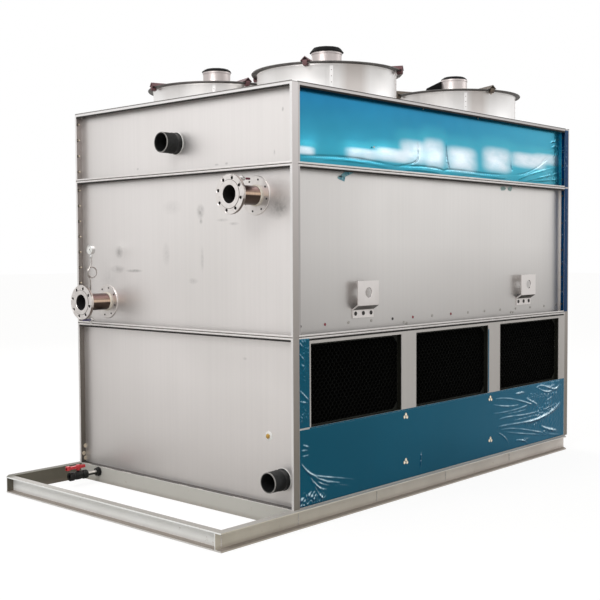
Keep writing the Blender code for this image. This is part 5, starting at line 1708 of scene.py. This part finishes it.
def make_stub(name):
    low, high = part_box(name)
    y, z = (low.y + high.y) / 2, (low.z + high.z) / 2
    radius = (high.y - low.y) / 2 - 0.004
    length = high.x - low.x
    bore = radius - 0.008
    start = along_pipe(high.x, y, z)
    wall = [(bore, -0.001), (radius + 0.0035, 0), (radius + 0.004, 0.005), (radius, 0.0065),
            (radius, 0.030), (radius + 0.0018, 0.033), (radius + 0.0018, 0.041), (radius, 0.044),
            (radius, length - 0.004), (radius - 0.0015, length - 0.0005), (radius - 0.003, length),
            (bore + 0.003, length), (bore, length - 0.002)]
    piece = shown(name + "_socket", mesh_of(name + "_socket", turned(wall, 96, True), start),
                  "stub", "casing")
    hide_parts(name)
    # A dark disc that paints the shade deep in the socket
    stop = [(0, 0.002), (bore + 0.001, 0.002), (bore + 0.001, 0.005), (0, 0.005)]
    shown(name + "_dark", mesh_of(name + "_dark", turned(stop, 48), start), "bore", "casing")
    edge = [(bore + 0.0035, length - 0.0002), (radius - 0.0028, length - 0.0002),
            (radius - 0.0016, length - 0.0010), (radius - 0.0004, length - 0.0042),
            (radius + 0.0003, length - 0.0042), (radius - 0.0010, length - 0.0002),
            (radius - 0.0026, length + 0.0006), (bore + 0.0035, length + 0.0006)]
    shown(name + "_mouth", mesh_of(name + "_mouth", turned(edge, 96, True), start), "stub_edge",
          "casing")
    seal = turned(ring_profile(radius + 0.0030, 0.0012, 0.0028), 96, True)
    draw = random.Random(name)
    for vert in seal.verts:
        swell = 1 + 0.012 * draw.uniform(-1, 1)
        vert.co.x *= swell
        vert.co.y *= swell
    shown(name + "_sealant", mesh_of(name + "_sealant", seal, start), "sealant", "casing")


def make_plug():
    """Brass plug through the lower sheet, in a smear of white sealant."""
    y, z = -0.748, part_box("end_panel_pipe_lower")[0].z + 0.377
    x = DECK_LOW.x + SHEET_BACK
    start = along_pipe(x, y, z)
    seal = turned([(0, 0), (0.028, 0), (0.024, 0.003), (0.014, 0.005), (0, 0.005)], 20)
    draw = random.Random(5)
    for vert in seal.verts:
        vert.co.x *= draw.uniform(0.86, 1.12)
        vert.co.y *= draw.uniform(0.86, 1.12)
    shown("plug_sealant", mesh_of("plug_sealant", seal, start), "sealant", "casing")
    hexagon = turned([(0, 0.004), (0.0145, 0.004), (0.0145, 0.011), (0.0125, 0.013), (0, 0.013)], 6)
    stem = turned([(0, 0.010), (0.006, 0.010), (0.006, 0.018), (0.005, 0.019), (0, 0.019)], 16)
    shown("basin_plug", mesh_of("basin_plug", together([hexagon, stem]), start), "brass",
          "casing")


def make_gauge():
    """Pressure gauge on a siphon tube, with a plain scale."""
    low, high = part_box("pressure_gauge")
    nozzle_low, nozzle_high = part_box("lower_nozzle")
    x = low.x + 0.014
    foot = low.z
    y = (nozzle_low.y + nozzle_high.y) / 2
    shift, ring, rise, stem_rise = 0.011, 0.034, 0.137, 0.252
    ring_x = x + 0.011
    points = [(x, y, foot), (x, y, foot + rise - 0.050)]
    steps = 48
    for i in range(steps + 1):
        share = i / steps
        angle = math.radians(215) - math.radians(430) * share
        points.append((ring_x + ring * math.cos(angle), y - shift * share,
                       foot + rise + ring * math.sin(angle)))
    points += [(x, y - shift, foot + rise + 0.050), (x, y - shift, foot + stem_rise)]
    tube = wire("gauge_siphon", points, 0.0042, "tube", "casing")
    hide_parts("pressure_gauge")
    y -= shift
    top = foot + stem_rise
    nut = turned([(0, 0), (0.0085, 0), (0.0092, 0.002), (0.0092, 0.022), (0.0075, 0.026),
                  (0.0075, 0.036), (0, 0.036)], 6)
    shown("gauge_nut", mesh_of("gauge_nut", nut, Matrix.Translation((x, y, top - 0.026))),
          "chrome", "casing")
    centre = along_pipe(x + 0.014, y, top + 0.030)
    case = [(0, 0), (0.026, 0), (0.0285, 0.002), (0.0285, 0.021), (0.030, 0.022), (0.030, 0.0272),
            (0.0290, 0.028), (0.0268, 0.0272), (0.0268, 0.0225), (0, 0.0225)]
    shown("gauge_case", mesh_of("gauge_case", turned(case, 64), centre), "chrome", "casing")
    dial = turned([(0, 0.0222), (0.0266, 0.0222), (0.0266, 0.0236), (0, 0.0236)], 48)
    shown("gauge_dial", mesh_of("gauge_dial", dial, centre), "dial", "casing")
    marks = []
    for i in range(11):
        angle = math.radians(225 - 27 * i)
        turn = centre @ Matrix.Rotation(angle, 4, 'Z')
        marks.append(moved(block((0.0190, -0.0005, 0.0236), (0.0235, 0.0005, 0.0240)), turn))
    needle = centre @ Matrix.Rotation(math.radians(210), 4, 'Z')
    marks.append(moved(block((-0.006, -0.0008, 0.0242), (0.0185, 0.0008, 0.0248)), needle))
    marks.append(moved(turned([(0, 0.0236), (0.003, 0.0236), (0.003, 0.0255), (0, 0.0255)], 16),
                       centre))
    shown("gauge_marks", mesh_of("gauge_marks", together(marks)), "ink", "casing")


def make_cock(name, rise_sign, lever_material):
    """A small ball cock with a hex body and a plastic-coated lever."""
    low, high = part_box(name)
    nozzle = "upper_nozzle" if rise_sign > 0 else "lower_nozzle"
    box_low, box_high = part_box(nozzle)
    y = (box_low.y + box_high.y) / 2
    x = box_high.x + 0.0003 - (0.115 if rise_sign > 0 else 0.135)
    seat = low.z if rise_sign > 0 else high.z
    length = 0.050 if rise_sign > 0 else 0.085
    turn = Matrix.Translation((x, y, seat))
    if rise_sign < 0:
        turn = turn @ Matrix.Rotation(math.pi, 4, 'X')
    body_h = 0.7 * length
    stem = turned([(0, 0), (0.010, 0), (0.010, 0.006), (0.007, 0.008), (0.007, body_h - 0.014),
                   (0.011, body_h - 0.012), (0.011, body_h - 0.006), (0.0095, body_h - 0.004),
                   (0.0095, body_h + 0.006), (0.007, body_h + 0.010), (0.007, length),
                   (0.0045, length), (0, length - 0.003)], 24)
    ball = moved(turned([(0, -0.020), (0.010, -0.020), (0.011, -0.014), (0.0135, -0.008),
                         (0.014, 0), (0.0135, 0.008), (0.011, 0.014), (0.010, 0.020),
                         (0, 0.020)], 24),
                 Matrix.Translation((0, 0, body_h)) @ Matrix.Rotation(math.pi / 2, 4, 'Y'))
    piece = shown(name + "_body", mesh_of(name + "_body", together([stem, ball]), turn),
                  "chrome", "casing")
    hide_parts(name)
    reach = 0.054 if rise_sign > 0 else -0.070
    side_y = y - 0.014
    body_z = seat + rise_sign * body_h
    ends = sorted((x + (0.020 if rise_sign > 0 else -0.008), x + reach))
    lever = block((ends[0], side_y - 0.003, body_z - 0.006), (ends[1], side_y + 0.0025,
                                                            body_z + 0.006), 0.0022)
    shown(name + "_lever", mesh_of(name + "_lever", lever), lever_material, "casing")
    root = sorted((x - 0.009 * rise_sign, x + 0.016 * rise_sign))
    shank = block((root[0], side_y - 0.0020, body_z - 0.0045),
                  (root[1], side_y + 0.0015, body_z + 0.0045), 0.0008)
    hub = moved(turned([(0, -0.006), (0.005, -0.006), (0.005, 0.003), (0, 0.003)], 6),
                Matrix.Translation((x, side_y, body_z)) @ OUTWARD)
    shown(name + "_shank", mesh_of(name + "_shank", together([shank, hub])), "chrome", "casing")


HANDLE_H = 0.036
HANDLE_RISE = 0.006


def make_drain():
    """Black ball valve with ribbed union nuts, and its red handle on the handle's body."""
    low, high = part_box("basin_drain_valve")
    handle_low, handle_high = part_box("drain_valve_handle")
    y = (low.y + high.y) / 2
    z = low.z + 0.031
    start = along_pipe(high.x, y, z)
    length = high.x - low.x
    flange = [(0, 0), (0.031, 0), (0.031, 0.008), (0.026, 0.010), (0.026, 0.024), (0.022, 0.026),
              (0, 0.026)]
    body = length - 0.132
    valve = [(0, body - 0.004), (0.019, body - 0.004), (0.019, body), (0.0275, body + 0.001),
             (0.028, body + 0.003), (0.028, body + 0.030), (0.0265, body + 0.032),
             (0.022, body + 0.034), (0.022, body + 0.040), (0.0245, body + 0.044),
             (0.0265, body + 0.056), (0.0265, body + 0.078), (0.0245, body + 0.090),
             (0.022, body + 0.094), (0.022, body + 0.099), (0.0265, body + 0.101),
             (0.028, body + 0.103), (0.028, length - 0.003), (0.026, length), (0.013, length),
             (0.013, length - 0.050), (0, length - 0.050)]
    shapes = [turned(flange, 8), turned(valve, 48)]
    for centre in (body + 0.016, length - 0.016):
        for i in range(20):
            turn = Matrix.Rotation(2 * math.pi * i / 20, 4, 'Z')
            shapes.append(moved(block((0.0272, -0.0012, centre - 0.012),
                                      (0.0285, 0.0012, centre + 0.012), 0.0004), turn))
    valve_middle = length - 0.066
    neck = moved(turned([(0, 0), (0.011, 0), (0.011, 0.0285), (0.008, 0.030), (0.008, 0.0338),
                         (0, 0.0338)], 24),
                 Matrix.Translation((0, 0, valve_middle)) @ Matrix.Rotation(math.pi / 2, 4, 'Y'))
    shapes.append(neck)
    piece = shown("basin_drain_body", mesh_of("basin_drain_body", together(shapes), start),
                  "plastic", "casing")
    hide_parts("basin_drain_valve")
    nipple = turned([(0, 0.020), (0.014, 0.020), (0.014, body + 0.002), (0, body + 0.002)], 32)
    shown("basin_drain_nipple", mesh_of("basin_drain_nipple", nipple, start), "nipple",
          "casing")
    hub_x = high.x - valve_middle
    bar = block((handle_low.x, y - 0.011, handle_low.z + 0.005 + HANDLE_RISE),
                (handle_high.x, y + 0.011, handle_low.z + HANDLE_H - 0.005), 0.0045)
    hub = moved(turned([(0, 0), (0.012, 0), (0.013, 0.002), (0.013, 0.011), (0.010, 0.014),
                        (0, 0.014)], 32), Matrix.Translation((hub_x, y, handle_low.z)))
    ends = [block((x - 0.014, y - 0.013, handle_low.z + 0.002 + HANDLE_RISE),
                  (x + 0.014, y + 0.013, handle_low.z + HANDLE_H), 0.0050)
            for x in (handle_low.x + 0.014, handle_high.x - 0.050)]
    handle = shown("drain_handle_bar", mesh_of("drain_handle_bar", together([bar, hub, *ends])),
                   "red", "handle")
    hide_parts("drain_valve_handle")


def make_pipe_end():
    for name in ("upper_nozzle", "lower_nozzle"):
        make_nozzle(name)
    for name in ("upper_pipe_stub", "lower_pipe_stub"):
        make_stub(name)
    make_plug()
    make_gauge()
    make_cock("vent_cock", 1, "lever_red")
    make_cock("nozzle_drain_cock", -1, "lever_blue")
    make_drain()


# Studio
FLOOR_SHARE = 0.72
FLOOR_WHITE = 1.20


def make_floor():
    """A pale floor that the camera sees as white and that keeps a soft shadow."""
    bpy.ops.mesh.primitive_plane_add(size=120, location=(0, 0, -0.0006))
    floor = bpy.context.object
    floor.name = "studio_floor"
    material = bpy.data.materials.new("studio_floor")
    material.use_nodes = True
    tree = material.node_tree
    shader = tree.nodes["Principled BSDF"]
    shader.inputs["Base Color"].default_value = (0.66, 0.65, 0.635, 1.0)
    shader.inputs["Roughness"].default_value = 0.9
    shader.inputs["Specular IOR Level"].default_value = 0.0
    light = tree.nodes.new("ShaderNodeEmission")
    light.inputs["Color"].default_value = (1.0, 1.0, 1.0, 1.0)
    light.inputs["Strength"].default_value = FLOOR_WHITE
    path = tree.nodes.new("ShaderNodeLightPath")
    share = tree.nodes.new("ShaderNodeMath")
    share.operation = 'MULTIPLY'
    share.inputs[1].default_value = FLOOR_SHARE
    mix = tree.nodes.new("ShaderNodeMixShader")
    tree.links.new(path.outputs["Is Camera Ray"], share.inputs[0])
    tree.links.new(share.outputs[0], mix.inputs[0])
    tree.links.new(shader.outputs[0], mix.inputs[1])
    tree.links.new(light.outputs[0], mix.inputs[2])
    tree.links.new(mix.outputs[0], tree.nodes["Material Output"].inputs["Surface"])
    floor.data.materials.append(material)


WORLD_LIGHT = 0.62


def make_world():
    """White for the camera and for gloss, and a plain even fill for everything else."""
    world = bpy.data.worlds.new("studio")
    bpy.context.scene.world = world
    world.use_nodes = True
    tree = world.node_tree
    fill = tree.nodes["Background"]
    fill.inputs["Color"].default_value = (1.0, 0.99, 0.98, 1.0)
    fill.inputs["Strength"].default_value = WORLD_LIGHT
    white = tree.nodes.new("ShaderNodeBackground")
    white.inputs["Color"].default_value = (1.0, 1.0, 1.0, 1.0)
    white.inputs["Strength"].default_value = 1.0
    path = tree.nodes.new("ShaderNodeLightPath")
    first = tree.nodes.new("ShaderNodeMath")
    first.operation = 'MAXIMUM'
    second = tree.nodes.new("ShaderNodeMath")
    second.operation = 'MAXIMUM'
    tree.links.new(path.outputs["Is Camera Ray"], first.inputs[0])
    tree.links.new(path.outputs["Is Glossy Ray"], first.inputs[1])
    tree.links.new(first.outputs[0], second.inputs[0])
    tree.links.new(path.outputs["Is Transmission Ray"], second.inputs[1])
    mix = tree.nodes.new("ShaderNodeMixShader")
    tree.links.new(second.outputs[0], mix.inputs[0])
    tree.links.new(fill.outputs[0], mix.inputs[1])
    tree.links.new(white.outputs[0], mix.inputs[2])
    tree.links.new(mix.outputs[0], tree.nodes["World Output"].inputs["Surface"])


def area_light(name, place, target, size, power):
    lamp = bpy.data.lights.new(name, 'AREA')
    lamp.shape = 'RECTANGLE'
    lamp.size, lamp.size_y = size
    lamp.energy = power
    holder = bpy.data.objects.new(name, lamp)
    bpy.context.scene.collection.objects.link(holder)
    holder.location = place
    aim = Vector(target) - Vector(place)
    holder.rotation_euler = aim.to_track_quat('-Z', 'Y').to_euler()
    holder.visible_camera = False


def make_lights():
    area_light("key", (-7.0, -1.0, 6.0), (-0.9, -0.2, 1.2), (4.0, 3.0), 260)
    area_light("windows", (6.2, -5.4, 4.35), (0.3, -0.9, 2.1), (4.8, 0.6), 32)
    area_light("rear", (4.0, 6.5, 6.0), (0.3, 0.3, 1.2), (4.0, 3.0), 160)


CAMERA_PLACE = (-5.2794, -4.7029, 1.5050)
CAMERA_YAW = 42.402
CAMERA_PITCH = -2.684
CAMERA_ROLL = -0.265
LENS = 61.2


def make_camera():
    camera = bpy.data.cameras.new("camera")
    camera.lens = LENS
    camera.sensor_width = 36.0
    camera.clip_end = 200
    holder = bpy.data.objects.new("camera", camera)
    bpy.context.scene.collection.objects.link(holder)
    yaw, pitch, roll = (math.radians(a) for a in (CAMERA_YAW, CAMERA_PITCH, CAMERA_ROLL))
    ahead = Vector((math.cos(pitch) * math.cos(yaw), math.cos(pitch) * math.sin(yaw),
                    math.sin(pitch)))
    level = Vector((math.sin(yaw), -math.cos(yaw), 0))
    over = level.cross(ahead)
    right = level * math.cos(roll) + over * math.sin(roll)
    up = over * math.cos(roll) - level * math.sin(roll)
    turn = Matrix((right, up, -ahead)).transposed().to_4x4()
    holder.matrix_world = Matrix.Translation(CAMERA_PLACE) @ turn
    bpy.context.scene.camera = holder


scene = bpy.context.scene
scene.view_settings.view_transform = 'Standard'
make_camera()
make_floor()
make_world()
make_lights()
make_casing()
make_joints()
make_films()
flange_bolts()
rail_bolts()
side_screws()
end_clips()
deck_screws()
lug_bolts()
weld_beads()
make_inlets()
make_eliminator()
make_fans()
make_pipe_end()

bpy.context.view_layer.update()
